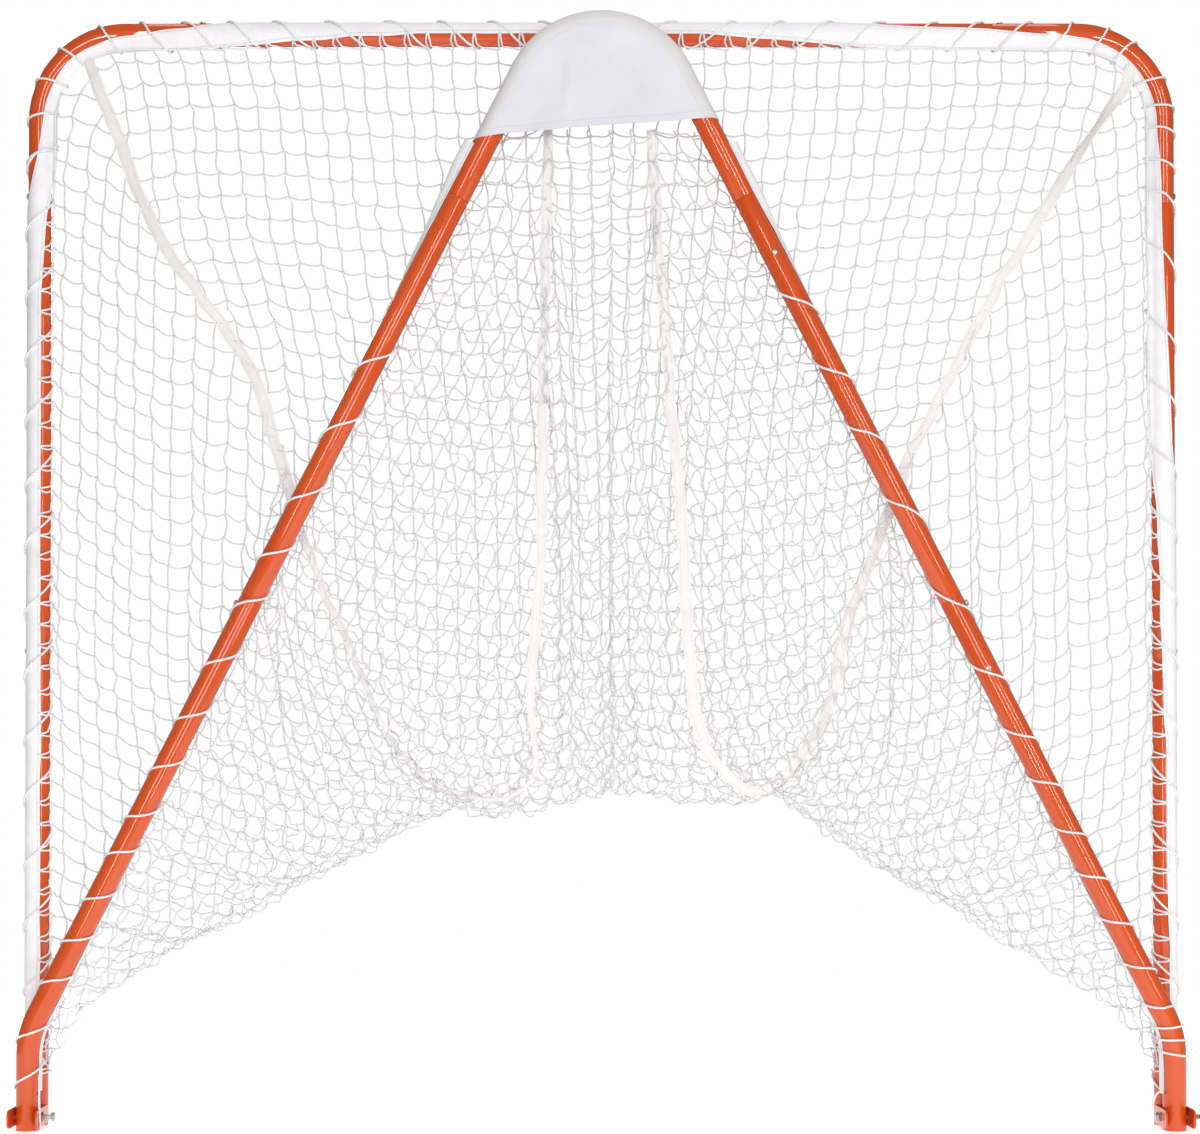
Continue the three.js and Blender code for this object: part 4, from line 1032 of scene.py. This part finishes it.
def buildLacing():
    for name, side in sides:
        fromRight = side > 0
        line = mouthLine[::-1] if fromRight else mouthLine
        crossings = np.array(lacing["fromRight" if fromRight else "fromLeft"], float)

        def nearOf(run):
            return float(fromTable(lacing["nearShare"], run)[0])

        stop = lacing["tiesStop"]
        last = np.argmax(crossings > stop)
        for piece, node, chosen in ((f"post_lacing_{name}", f"post_lacing_{name}", crossings[:last + 1]),
                                    (f"crossbar_lacing_{name}", "crossbar_lacing", crossings[last:])):
            path = windingPath(line, chosen, mouthY, mouthRadius(fromRight), -side, nearOf)
            cordPiece(piece, path, "front_frame", node)
        line = legLineOf(side)
        places = [float(np.interp(z, line[:, 1], runsOf(line))) for z in lacing["leg" + name.capitalize()]]
        path = windingPath(line, places, legY, legRadius, -side, lambda run: lacing["legNearShare"])
        cordPiece(f"leg_lacing_{name}", path, "ground_frame", f"leg_lacing_{name}")


buildLacing()
print("stage 5: lacing made")

# the loose cord ends at the feet: what each rides on, and the points that it follows
looseCords = {
    "cordEndLeft": ("ground_frame", [(-912, -36, 92), (-910, -43, 76), (-909.5, -45.5, 60), (-909, -46, 44),
                                     (-908.5, -46, 28), (-907.5, -45.5, 14), (-906.5, -45, 5)]),
    "cordEndRight": ("ground_frame", [(914.2, -29.5, 61), (907, -33, 63.5), (901, -36, 60), (897, -37.5, 54),
                                      (894.7, -38.5, 48), (893.4, -39.5, 43), (892.6, -40, 38.5)]),
}


def buildLooseCords():
    for name, (body, points) in looseCords.items():
        path = smoothCurve(points, 2.5)
        piece = cordPiece(name, path, body)
        length = runsOf(path)[-1] * millimetre
        print(name, "is", round(length, 4), "metres long")


buildLooseCords()

net = {
    "pitch": 38.0,
    "twine": 1.3,             # radius
    "sidesRound": 5,
    "stringParts": 5,
    "footZ": 72.0,
    "edgeInset": 27.0,        # from the mouth tube's middle line to the net's edge
    "legInset": 7.0,
    "legBendZ": 150.0,
    "legBendRadius": 120.0,
    "coverZ": 1636.0,
    "sideTall": 1740.0,
    "sideDeep": 1740.0,
    "sideEndIn": 10.0,        # the short edge of a side net, at the cover
    "sideEndTall": 100.0,
    "topTall": 2500.0,
    "topHalf": 880.0,
    "topLow": 92.0,
    "topFull": 0.965,         # width of the meshes beside the straps, as a share
    "topRise": 0.17,          # how much shorter the slack columns in the middle of the top net are
    "topRiseHalf": 420.0,
    "knot": (2.9, 2.3, 2.3),
    # the net's depth where it is tied to the mouth frame, in that layer, in the other layer and where that
    # one is tied to the ground frame
    "layers": (24.0, 18.0, -1.0, -3.6),
    "turnFront": 16.5,        # y where the net starts to turn with the ground frame as the goal opens
    "turnRear": 0.5,
    "flat": 0.03,             # a string's thickness there, as a share, so that it isn't smeared in turning
    "roundFront": 17.4,       # strings are round again beyond these two
    "roundRear": -0.6,
    "rowSag": 2.6,            # how far a tight row hangs and a tight column bows
    "columnBow": 2.2,
    "mostBow": 10.0,          # of a slack string
}
# how the nets hang: they are slack from this far round the fold, over this much more of it, and their
# strings are this much shorter there
hang = {
    "side": {"from": 0.36, "over": 0.16, "shorter": 0.30},
    "top": {"from": 0.30, "over": 0.2, "shorter": 0.16},
    "steps": 150,
    "rounds": 8,              # of correction in each step
    "pull": 3.0,
    "pushBack": 0.3,
}
strap = {
    "width": 20.0,
    "thickness": 1.6,
    "across": 9,
    "step": 5.0,
    "frontFrom": 17.5,        # depth of the front layer, and how near to the turning part it may come
    "frontLimit": 17.6,
    "rearLimit": -0.8,
    # width by how far round it is, where it is folded over and bunched
    "leftWidth": [(0, 1), (0.3, 1), (0.42, 0.5), (0.5, 0.35), (0.57, 0.3), (0.62, 0.5), (0.68, 0.9),
                  (1, 0.8)],
    "rightWidth": [(0, 1), (0.35, 0.9), (0.45, 1), (0.55, 0.8), (0.6, 1), (1, 0.9)],
    # (across, up) places down the front layer and up the rear one
    "left": [(-850, 1768), (-837, 1722), (-811, 1664), (-780, 1576), (-727, 1459), (-587, 1261), (-521, 1063),
             (-479, 931), (-413, 783), (-347, 635), (-265, 561), (-166, 537), (-109, 586), (-117, 701),
             (-101, 931), (-93, 1360), (-88, 1640)],
    "right": [(884, 1758), (861, 1709), (836, 1672), (810, 1632), (787, 1598), (690, 1443), (607, 1294),
              (508, 1096), (458, 964), (409, 833), (372, 685), (310, 586), (236, 553), (162, 652), (146, 783),
              (129, 1030), (105, 1311), (82, 1640)],
}


def depthAt(share):
    # from the mouth frame's side of the net to the ground frame's, by how far round the fold a point is
    front, near, far, rear = net["layers"]
    share = np.asarray(share, float)
    y = np.where(share < 0.3, front + (near - front) * smoothStep(share / 0.3), near)
    middle = smoothStep((share - 0.3) / 0.5)
    y = np.where(share >= 0.3, near + (far - near) * middle, y)
    return np.where(share > 0.8, far + (rear - far) * smoothStep((share - 0.8) / 0.2), y)


def thicknessAt(y, margin=0.0):
    # full in the parts that move with one frame, thin where the net turns between the two,
    # and thin already within the margin of the front layer's depth for what is wider than a string
    y = np.where(np.abs(y - 17.9) < margin, 15.0, y)
    front, rear = smoothStep((y - net["roundFront"]) / 0.5), smoothStep((net["roundRear"] - y) / 0.4)
    return net["flat"] + (1 - net["flat"]) * np.maximum(front, rear)


def turning(piece):
    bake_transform(piece)


strapLines = {name: smoothCurve(strap[name], strap["step"]) for name, side in sides}


def elbowArc(start, end):
    # the net's edge round the right elbow, from one angle to another
    inset, bend = net["edgeInset"], layout["elbowRadius"]
    angle = np.linspace(start, end, 10)
    return np.stack([postX - bend + (bend - inset) * np.cos(angle),
                     barZ - bend + (bend - inset) * np.sin(angle)], 1)


def postEdge(side):
    # the net's edge up a post, to the middle of the elbow
    arc = elbowArc(0, math.pi / 4) * [side, 1]
    return evenly(np.vstack([[(side * (postX - net["edgeInset"]), net["footZ"])], arc]), 5.0)


def barEdge():
    right = elbowArc(math.pi / 4, math.pi / 2)
    return evenly(np.vstack([right * [-1, 1], right[::-1]]), 5.0)


def legEdge(side):
    inset, low, high = (net[key] for key in ("legInset", "footZ", "coverZ"))
    corners = [(side * (postX - inset), low), (side * (postX - inset), net["legBendZ"], net["legBendRadius"]),
               (side * (legX(high) - inset / math.cos(legLean)), high)]
    return evenly(roundedPath(corners), 5.0)


def netGrid(corners):
    # rows and columns of twine over a flat cut: knots inside, and tied ends on the cut's edges
    corners, pitch = np.asarray(corners, float), net["pitch"]
    places, ends, knots, strings = [], [], {}, []

    def knotAt(i, j):
        if (i, j) not in knots:
            knots[i, j] = len(places)
            places.append(((i + 0.5) * pitch, (j + 0.5) * pitch))
            ends.append((-1, 0.0))
        return knots[i, j]

    for axis in (1, 0):
        low, high = corners[:, axis].min(), corners[:, axis].max()
        for k in range(math.ceil(low / pitch - 0.5), math.floor(high / pitch - 0.5) + 1):
            value, hits = (k + 0.5) * pitch, []
            for edge in range(len(corners)):
                a, b = corners[edge], corners[(edge + 1) % len(corners)]
                if (a[axis] - value) * (b[axis] - value) < 0:
                    t = (value - a[axis]) / (b[axis] - a[axis])
                    hits.append((a[1 - axis] + (b[1 - axis] - a[1 - axis]) * t, edge, t))
            hits.sort()
            if len(hits) < 2 or hits[-1][0] - hits[0][0] < 0.4 * pitch:
                continue
            line = []
            for spot, edge, t in (hits[0], hits[-1]):
                line.append(len(places))
                places.append((spot, value) if axis else (value, spot))
                ends.append((edge, t))
            # a knot too near to the cut's edge is left out
            first = math.ceil(hits[0][0] / pitch - 0.3)
            last = math.floor(hits[-1][0] / pitch - 0.7)
            inner = [knotAt(m, k) if axis else knotAt(k, m) for m in range(first, last + 1)]
            line = [line[0], *inner, line[1]]
            strings += [(line[i], line[i + 1], axis) for i in range(len(line) - 1)]
    return np.array(places), ends, np.array(strings)


def settle(places, free, loose, strings, longest, shortest):
    # hangs the net: each string may slacken but not stretch, and pushes back only weakly when squeezed
    a, b = strings[:, 0], strings[:, 1]
    count, steps, pull = len(places), hang["steps"], hang["pull"]
    share = 1.5 * free / np.maximum(np.bincount(a, minlength=count) + np.bincount(b, minlength=count), 1)
    for step in range(steps):
        places[:, 1] -= pull * free * (0.15 + 0.85 * loose) * (1 - 0.7 * step / steps)
        for _ in range(hang["rounds"]):
            apart = places[b] - places[a]
            length = np.maximum(np.linalg.norm(apart, axis=1), 1e-6)
            change = np.maximum(length - longest, 0) - hang["pushBack"] * np.maximum(shortest - length, 0)
            change = apart * (change / length)[:, None]
            for k in (0, 1):
                moved = np.bincount(a, change[:, k], count) - np.bincount(b, change[:, k], count)
                places[:, k] += share * moved
    return places


def laidSheet(corners, edges, foldOf, placeOf):
    # a flat cut laid out in place: its tied ends on the edges' lines, its knots where placeOf puts them
    flat, ends, strings = netGrid(corners)
    places, free, fold = np.zeros_like(flat), np.zeros(len(flat)), np.zeros(len(flat))
    for k, ((u, v), (edge, t)) in enumerate(zip(flat, ends)):
        free[k], fold[k] = edge < 0, foldOf(u, v)
        places[k] = placeOf(u, v, fold[k]) if edge < 0 else atShare(edges[edge], t)
    return flat, ends, strings, places, free, fold


def sideSheet(name, side):
    # a side net is a triangle: up the post, along the leg, and the strap between their ends
    tall, deep = net["sideTall"], net["sideDeep"]
    corners = [(0, 0), (deep, 0), (deep - net["sideEndIn"], net["sideEndTall"]), (0, tall)]
    alongLeg, alongStrap = legEdge(side), strapLines[name]
    edges = (alongLeg, np.array([alongLeg[-1], alongStrap[-1]]), alongStrap[::-1], postEdge(side)[::-1])
    foot = alongLeg[0]

    def foldOf(u, v):
        return (u / deep) / (u / deep + v / tall)

    def placeOf(u, v, fold):
        reach = min(u / deep + v / tall, 1.0)
        spread = foot + reach * (atShare(alongStrap, fold) - foot)
        hug = smoothStep((fold - 0.86) / 0.14)   # beside the leg the net follows it
        return spread * (1 - hug) + atShare(alongLeg, reach) * hug

    return laidSheet(corners, edges, foldOf, placeOf)


def topSheet():
    # the top net is cut narrow towards the cover, with a strap down each slanted edge
    tall, half, low = net["topTall"], net["topHalf"], net["topLow"]
    corners = [(-half, 0), (half, 0), (low, -tall), (-low, -tall)]
    bar, full = barEdge(), net["topFull"]
    left, right = strapLines["left"], strapLines["right"]
    edges = (bar, right, np.array([right[-1], left[-1]]), left[::-1])

    def foldOf(u, v):
        return min(max(-v / tall, 0), 1)

    def placeOf(u, v, fold):
        width = half + (low - half) * fold
        onLeft, onRight = atShare(left, fold), atShare(right, fold)
        # full meshes beside the straps, narrower ones in the middle
        narrowed = min((onRight[0] - onLeft[0]) / (2 * width), 0.96)
        power = min(3.0, 0.8 / (full - narrowed))
        gap = width - abs(u)
        fromMiddle = narrowed * width - full * gap + (full - narrowed) * width * (gap / width) ** power
        across = 0.5 + 0.5 * math.copysign(fromMiddle / (narrowed * width), u)
        straight = onLeft * (1 - across) + onRight * across
        arch = atShare(bar, across) - (bar[0] * (1 - across) + bar[-1] * across)
        return straight + (1 - fold) * arch

    return laidSheet(corners, edges, foldOf, placeOf)


def hungSheet(kind, sheet):
    flat, ends, strings, places, free, fold = sheet
    a, b = strings[:, 0], strings[:, 1]
    length = np.linalg.norm(flat[a] - flat[b], axis=1)
    # 0 where the net hangs in even squares, 1 where it is bunched and slack
    loose = smoothStep((fold - hang[kind]["from"]) / hang[kind]["over"])
    between = np.maximum(loose[a], loose[b])
    shorter = hang[kind]["shorter"]
    if kind == "top":      # the middle of the top net is gathered highest
        middleX = (flat[a, 0] + flat[b, 0]) / 2
        central = 1 - smoothStep(np.abs(middleX) / net["topRiseHalf"])
        shorter = shorter + net["topRise"] * central * (strings[:, 2] == 0)
    longest = length * (1 - shorter * between) * rng.uniform(0.93, 1.0, len(length))
    shortest = length * (0.93 - 0.45 * between)
    places = places + rng.normal(0, 1, places.shape) * free[:, None] * (3 + 8 * loose[:, None])
    places = settle(places, free, loose, strings, longest, shortest)
    return places, length, loose


def twineSet(places, depths, flat, strings, length, loose):
    # each string as a bowed line between its two knots, as long as the twine is
    a, b, axis = strings[:, 0], strings[:, 1], strings[:, 2]
    start = spotsAt(places[a], depths[a])
    apart = spotsAt(places[b], depths[b]) - start
    count = len(a)
    span = np.maximum(np.linalg.norm(apart, axis=1), 4.0)
    slack = np.clip(length / span - 1, 0.004, 0.5)
    slackBow = np.minimum(span * np.sqrt(0.375 * slack), net["mostBow"])
    cell = np.floor((flat[a] + flat[b]) / 2 / net["pitch"] + 1000).astype(int)
    parity = 1 - 2 * (cell.sum(axis=1) % 2)
    between = (loose[a] + loose[b]) / 2
    rows = axis == 1
    tight = np.where(rows, -rng.normal(net["rowSag"], 1.1, count) - 0.45 * slackBow,
                     rng.normal(0, net["columnBow"], count))
    hanging = slackBow * np.where(rows, rng.normal(-0.75, 0.35, count), parity * rng.normal(0.85, 0.3, count))
    bow = (tight * (1 - between) + hanging * between) * np.clip(span / net["pitch"], 0.25, 1)
    acrossWay = unit(np.stack([-apart[:, 2], np.zeros(count), apart[:, 0]], 1))
    upright = np.where(rows, acrossWay[:, 2], acrossWay[:, 0])
    acrossWay *= np.where(upright < 0, -1, 1)[:, None]
    t = np.linspace(0, 1, net["stringParts"] + 1)
    hump = np.sin(math.pi * t)
    wave = np.sin(2 * math.pi * t) * rng.normal(0, 1, (count, 1)) * (0.8 + 1.4 * between[:, None])
    paths = start[:, None] + apart[:, None] * t[None, :, None]
    return paths + acrossWay[:, None] * (bow[:, None] * hump + wave)[..., None]


def knotTemplate():
    # two small turns of twine pulled tight, as one lumpy ball
    ball = bmesh.new()
    bmesh.ops.create_icosphere(ball, subdivisions=1, radius=1.0)
    points = np.array([v.co for v in ball.verts])
    faces = np.array([[v.index for v in f.verts] for f in ball.faces])
    ball.free()
    return points, faces


knotPoints, knotFaces = knotTemplate()


def knotSet(spots, tilt):
    count, m = len(spots), len(knotPoints)
    size = np.array(net["knot"]) * rng.uniform(0.85, 1.15, (count, 1, 1))
    local = knotPoints[None] * size
    c, s = np.cos(tilt)[:, None], np.sin(tilt)[:, None]
    x = local[..., 0] * c - local[..., 2] * s
    z = local[..., 0] * s + local[..., 2] * c
    y = local[..., 1] * thicknessAt(spots[:, 1], 1.4)[:, None]
    points = np.stack([x, y, z], -1) + spots[:, None]
    faces = (knotFaces[None] + (np.arange(count) * m)[:, None, None]).reshape(-1, 3)
    uv = np.stack([np.full(count * m, 0.0), np.tile(np.arange(m) / m, count)], 1)
    return points.reshape(-1, 3), faces, uv


def netPiece(name, paths, spots, node):
    strings = cordArrays(paths, net["twine"], net["sidesRound"], thicknessAt)
    knots = knotSet(spots, rng.uniform(0, math.pi, len(spots)))
    faces = strings[1].tolist() + (knots[1] + len(strings[0])).tolist()
    marks = np.repeat([0, 1], [len(strings[1]), len(knots[1])])
    # the knots take the darker copy of the twine: painted shade
    piece = makeObject(name, np.concatenate([strings[0], knots[0]]), faces, [netTwine, knotTwine],
                       np.concatenate([strings[2], knots[2]]), marks)
    turning(piece)
    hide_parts(node)


def rumple(places, fold):
    # small differences in depth, only where they can't tear the net as it unfolds
    y = depthAt(fold)
    front = fold < 0.28
    rear = fold > 0.82
    legDistance = np.abs(np.abs(places[:, 0]) - legX(places[:, 1]))
    clear = smoothStep((legDistance - 30) / 30)
    noise = np.abs(rng.normal(0, 1, len(y)))
    y = y + np.where(front, noise * 1.5, 0)
    return y + np.where(rear, 2.1 * (1 - clear) - noise * 4.0 * clear, 0)


edgeKnots = {}


def hungNet(kind, sheet):
    # the strings' paths, the knots' places, which of them are inside, and the edge that each other one is on
    flat, ends, strings, _, free, fold = sheet
    places, length, loose = hungSheet(kind, sheet)
    depths = rumple(places, fold)
    paths = twineSet(places, depths, flat, strings, length, loose)
    return paths, spotsAt(places, depths), free > 0, np.array([edge for edge, t in ends])


def buildNets():
    for name, side in sides:
        paths, spots, inside, edges = hungNet("side", sideSheet(name, side))
        netPiece(f"net_{name}", paths, spots[inside], f"net_{name}")
        edgeKnots[name] = spots[edges == 3]
    sheet = topSheet()
    strings, fold = sheet[2], sheet[5]
    paths, spots, inside, edges = hungNet("top", sheet)
    upper = np.maximum(fold[strings[:, 0]], fold[strings[:, 1]]) < 0.5
    for part, chosen, knotChosen in (("front", upper, fold < 0.5), ("rear", ~upper, fold >= 0.5)):
        netPiece(f"net_top_{part}", paths[chosen], spots[inside & knotChosen], "net_top")
    edgeKnots["bar"] = spots[edges == 0]
    print("knots in the top net:", int(inside.sum()), "strings:", len(strings))


def buildStraps():
    # a folded strip of webbing over the seam of two nets, with a little twist and waviness
    for name, line in strapLines.items():
        share = np.linspace(0, 1, len(line))
        middle = spotsAt(line, depthAt(share))
        along = tangentsOf(middle)
        across, rough = unit(np.cross(along, towardsCamera)), roughFor(len(line), strap["step"])
        turn = rough(130.0, 0.35) * smoothStep((0.28 - share) / 0.1) \
            + rough(130.0, 0.3) * smoothStep((share - 0.86) / 0.1)
        face = unit(np.cross(across, along))
        flatWay = across * np.cos(turn)[:, None] + face * np.sin(turn)[:, None]
        normal = unit(np.cross(flatWay, along))[:, None]
        spread = np.linspace(-1, 1, strap["across"])[None]
        width = strap["width"] * fromTable(strap[f"{name}Width"], share)[0] * (1 + rough(60.0, 0.07))
        thin = thicknessAt(middle[:, 1], 2.0)[:, None]
        crown = 0.9 * (1 - spread ** 2) * (1 + rough(40.0, 0.3))[:, None] * thin
        offset = rough(38.0, 1.5)
        fromMiddle = spread * width[:, None] / 2 + offset[:, None]
        sheet = middle[:, None] + flatWay[:, None] * fromMiddle[..., None]
        layer, depth = middle[:, None, 1], sheet[..., 1]
        depth = np.where(layer > strap["frontFrom"], np.maximum(depth, strap["frontLimit"]), depth)
        sheet[..., 1] = np.where(layer < strap["rearLimit"], np.minimum(depth, strap["rearLimit"]), depth)
        half = strap["thickness"] / 2 * thin
        piece = stripPiece(f"net_strap_{name}", middle, sheet + normal * (crown + half)[..., None],
                           sheet + normal * (crown * 0.4 - half)[..., None], strapTape, 60)
        turning(piece)


buildNets()
buildStraps()
print("stage 6: nets and straps made")

edgeTie = {
    "radius": 1.6,
    "sidesRound": 7,
    "flank": 80.0,          # degrees round from the camera side where the loops meet the net
    "overlap": 5.0,         # how far onto the tape a loop reaches, in degrees
    "back": (4, 12),        # how far along the tube it comes back
}


def onMouthTube(run, angle, lift):
    # a point on the mouth frame's tape or tube, by run and degrees round it
    radius = float(mouthCover(np.array([run]), np.array([angle]))[0]) + lift
    way = unit(onLine(run, mouthRun, tangentsOf(mouthLine)))
    turn = math.radians(angle)
    out = math.sin(turn) * np.array([way[1], 0.0, -way[0]]) + math.cos(turn) * towardsCamera
    return spotsAt(onLine(run, mouthRun, mouthLine), mouthY) + radius * out


def buildEdgeLoops():
    # a cord loops from the net's edge up to the tape's inner edge and back, once for each row or column
    lift = edgeTie["radius"] - 0.5
    for part, order in (("left", 2), ("bar", 0), ("right", 2)):
        knots = edgeKnots[part]
        knots = knots[np.argsort(knots[:, order])]
        nearest = np.argmin(np.linalg.norm(mouthLine[None] - knots[:, None, [0, 2]], axis=2), axis=1)
        walk = []
        for knot, run in zip(knots, mouthRun[nearest]):
            ahead = 1 if part != "right" else -1
            inner = float(mouthEdges(np.array([run]))[1][0])
            flank, back = edgeTie["flank"], rng.uniform(*edgeTie["back"])
            if inner > tape["leaveFrom"]:       # here the net is tied straight to the tape's free edge
                tip = onMouthTube(run, min(inner, 80.0) - 4, 0.8)
                walk += [knot, tip, knot * 0.4 + tip * 0.6 + np.array([0, -1.5, 0])]
                continue
            top = inner - edgeTie["overlap"] - rng.uniform(0, 8)
            middle = (top + flank) / 2 + rng.uniform(-6, 6)
            walk += [knot,
                     onMouthTube(run - 2 * ahead, flank - 6, lift),
                     onMouthTube(run - rng.uniform(1, 5) * ahead, middle, lift),
                     onMouthTube(run, top, lift + 0.3),
                     onMouthTube(run + back * 0.5 * ahead, middle + rng.uniform(-4, 4), lift + 1.2),
                     onMouthTube(run + back * ahead, flank - rng.uniform(4, 16), lift + 0.8),
                     onMouthTube(run + (back + 9) * ahead, flank + rng.uniform(-6, 6), lift + 1.0)]
        path = smoothCurve(walk, 3.2)
        cord = roundCord(f"net_edge_cord_{part}", path, edgeTie["radius"], edgeTie["sidesRound"])
        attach(cord, "front_frame")


buildEdgeLoops()
print("stage 7: edge loops made")

cover = {
    # height of the bottom edge by place across it
    "bottom": [(-260, 1611), (-204, 1615), (-152, 1624), (-10, 1637), (187, 1649), (260, 1652)],
    "backRise": 14.0,        # how much higher the bottom edge is on the far side
    "radius": 20.4,          # from the tube's middle line to the cloth
    "thickness": 1.1,
    "rows": 64,
    "columns": 120,
    "dip": 3.5,
    "creases": 16,
    "hemZ": 1630.0,
    "flat": 0.42,            # metres along a side of the cloth before it was folded over
}


def archDistance(x, z):
    # signed distance from the apex tube's middle line in its plane, negative inside the arch
    onLeg = (np.abs(x) - (layout["peakZ"] - z) * layout["legSlope"]) * math.cos(legLean)
    onBend = np.hypot(x, z - archZ) - layout["elbowRadius"]
    return np.where(z - archZ > np.abs(x) * math.tan(legLean), onBend, onLeg)


def outlineHalf(z, radius):
    # half the arch's width at a height, out to a radius from the tube's middle line
    bend = layout["elbowRadius"] + radius
    onLeg = (layout["peakZ"] - z) * layout["legSlope"] + radius / math.cos(legLean)
    onBend = np.sqrt(np.maximum(bend ** 2 - (z - archZ) ** 2, 0))
    return np.where(z > archZ + bend * math.sin(legLean), onBend, onLeg)


def buildCover():
    radius, rows, columns = cover["radius"], cover["rows"], cover["columns"]
    topZ = archZ + layout["elbowRadius"] + radius
    u = np.linspace(-1, 1, columns + 1)
    v = np.sin(np.linspace(0, math.pi / 2, rows + 1))      # close rows near the top
    bottomX = np.sin(u * math.pi / 2) * outlineHalf(cover["hemZ"], radius)
    bottom = fromTable(cover["bottom"], bottomX)[0] + roughLine(columns + 1, 1.0, 9.0, 0.5)
    z = bottom[None] * (1 - v[:, None]) + topZ * v[:, None]
    x = outlineHalf(z, radius) * np.sin(u * math.pi / 2)[None]
    distance = archDistance(x, z)
    wrap = np.where(distance > 0, np.sqrt(np.maximum(radius ** 2 - distance ** 2, 0)), radius)
    inside = smoothStep(-distance / 60)
    edgeDip = cover["dip"] * inside
    folds = np.zeros_like(x)
    for _ in range(cover["creases"]):     # shallow creases that run down from the arch
        cx, cz = rng.uniform(-130, 130), rng.uniform(1650, 1800)
        tilt, wide, tall = rng.normal(0, 0.5), rng.uniform(8, 22), rng.uniform(50, 120)
        s = (x - cx) * math.cos(tilt) + (z - cz) * math.sin(tilt)
        t = -(x - cx) * math.sin(tilt) + (z - cz) * math.cos(tilt)
        folds += rng.normal(0, 1.0) * np.exp(-(s / wide) ** 2 - (t / tall) ** 2)
    seam = 0.8 * np.exp(-((distance + 3.0) / 2.2) ** 2)
    aboveHem = z - bottom[None]
    hemLift = 1.2 * smoothStep(1 - aboveHem / 14) * inside
    front = legY - wrap + edgeDip + inside * folds * 1.3 + seam - hemLift
    back = legY + wrap - edgeDip * 0.9 + inside * folds * 0.6
    frontGrid = np.stack([x, front, z], -1)
    awayFromSides = smoothStep((1 - np.abs(u)) / 0.25)[None]
    rise = cover["backRise"] * smoothStep(1 - aboveHem / 60) * awayFromSides
    backGrid = np.stack([x, np.minimum(back, legY + radius), z + rise], -1)
    points = np.concatenate([frontGrid.reshape(-1, 3), backGrid.reshape(-1, 3)])
    faces = gridFaces(rows + 1, columns + 1, False)
    backFaces = faces[:, ::-1] + (rows + 1) * (columns + 1)
    uv = np.stack([-distance * millimetre, aboveHem * millimetre], -1).reshape(-1, 2)
    piece = makeObject("apex_cover", points, np.concatenate([faces, backFaces]).tolist(), [coverCanvas],
                       np.concatenate([uv, uv]))
    work = bmesh.new()
    work.from_mesh(piece.data)
    bmesh.ops.remove_doubles(work, verts=work.verts, dist=0.00012)
    area = sum(face.calc_area() for face in work.faces)
    work.to_mesh(piece.data)
    work.free()
    thick = piece.modifiers.new("cloth", "SOLIDIFY")
    thick.thickness, thick.offset = cover["thickness"] * millimetre, 0
    applyModifiers(piece)
    edgesByAngle(piece, 60)
    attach(piece, "ground_frame")
    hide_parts("apex_cover")
    print("cover cloth area", round(area, 4), "square metres")


buildCover()
print("stage 8: cover made")

studio = {
    "ambient": 0.2,          # light from all round; the backdrop itself stays white
    "floorGlow": 0.6,
    "floorHalf": 2300.0,
    # x, y, z, wide, tall and watts of each soft box
    "boxes": {"boxRight": (1.1, -4.2, 1.75, 0.2, 3.2, 60), "boxLeft": (-1.3, -4.2, 1.75, 0.2, 3.2, 54),
              "boxFarRight": (3.9, -4.2, 2.3, 0.35, 3.2, 64), "boxBehind": (-1.5, 5.0, 3.2, 2.5, 1.6, 120),
              "boxOverhead": (0.0, 0.5, 4.6, 2.4, 1.6, 30)},
    "aimHeight": 0.9,        # where the soft boxes point
    "cameraX": -0.002,
    "cameraBack": 3.6,
    "cameraHeight": 0.56,
    "pitch": 0.83,
    "lens": 65.77,
    "shiftY": 0.1559,
}


def buildStudio():
    floorMaterial = newMaterial("studioFloor", (0.9, 0.9, 0.9), 0.7, Emission_Color=(1, 1, 1, 1),
                                Emission_Strength=studio["floorGlow"])
    size = studio["floorHalf"]
    floor = makeObject("floor", [(-size, -size, 0), (size, -size, 0), (size, size, 0), (-size, size, 0)],
                       [(0, 1, 2, 3)], [floorMaterial])
    floor.location.z = -0.0003
    world = bpy.data.worlds.new("studio")
    bpy.context.scene.world = world
    world.use_nodes = True
    nodes, links = world.node_tree.nodes, world.node_tree.links
    background, output = nodes["Background"], nodes["World Output"]
    background.inputs[0].default_value = (1, 1, 1, 1)
    background.inputs[1].default_value = studio["ambient"]
    backdrop, chooser = nodes.new("ShaderNodeBackground"), nodes.new("ShaderNodeMixShader")
    backdrop.inputs[0].default_value = (1, 1, 1, 1)
    links.new(nodes.new("ShaderNodeLightPath").outputs["Is Camera Ray"], chooser.inputs[0])
    links.new(background.outputs[0], chooser.inputs[1])
    links.new(backdrop.outputs[0], chooser.inputs[2])
    links.new(chooser.outputs[0], output.inputs[0])
    for name, (x, y, z, wide, tall, power) in studio["boxes"].items():
        light = bpy.data.lights.new(name, "AREA")
        light.shape, light.size, light.size_y, light.energy = "RECTANGLE", wide, tall, power
        holder = bpy.data.objects.new(name, light)
        holder.location = (x, y, z)
        aim = Vector((0, 0, studio["aimHeight"])) - holder.location
        holder.rotation_euler = aim.to_track_quat("-Z", "Y").to_euler()
        bpy.context.scene.collection.objects.link(holder)
    data = bpy.data.cameras.new("camera")
    data.lens, data.shift_y = studio["lens"], studio["shiftY"]
    camera = bpy.data.objects.new("camera", data)
    camera.location = (studio["cameraX"], -studio["cameraBack"], studio["cameraHeight"])
    camera.rotation_euler = (math.radians(90 + studio["pitch"]), 0, 0)
    bpy.context.scene.collection.objects.link(camera)
    bpy.context.scene.camera = camera
    bpy.context.scene.view_settings.view_transform = "Standard"


buildStudio()
print("stage 9: studio made")
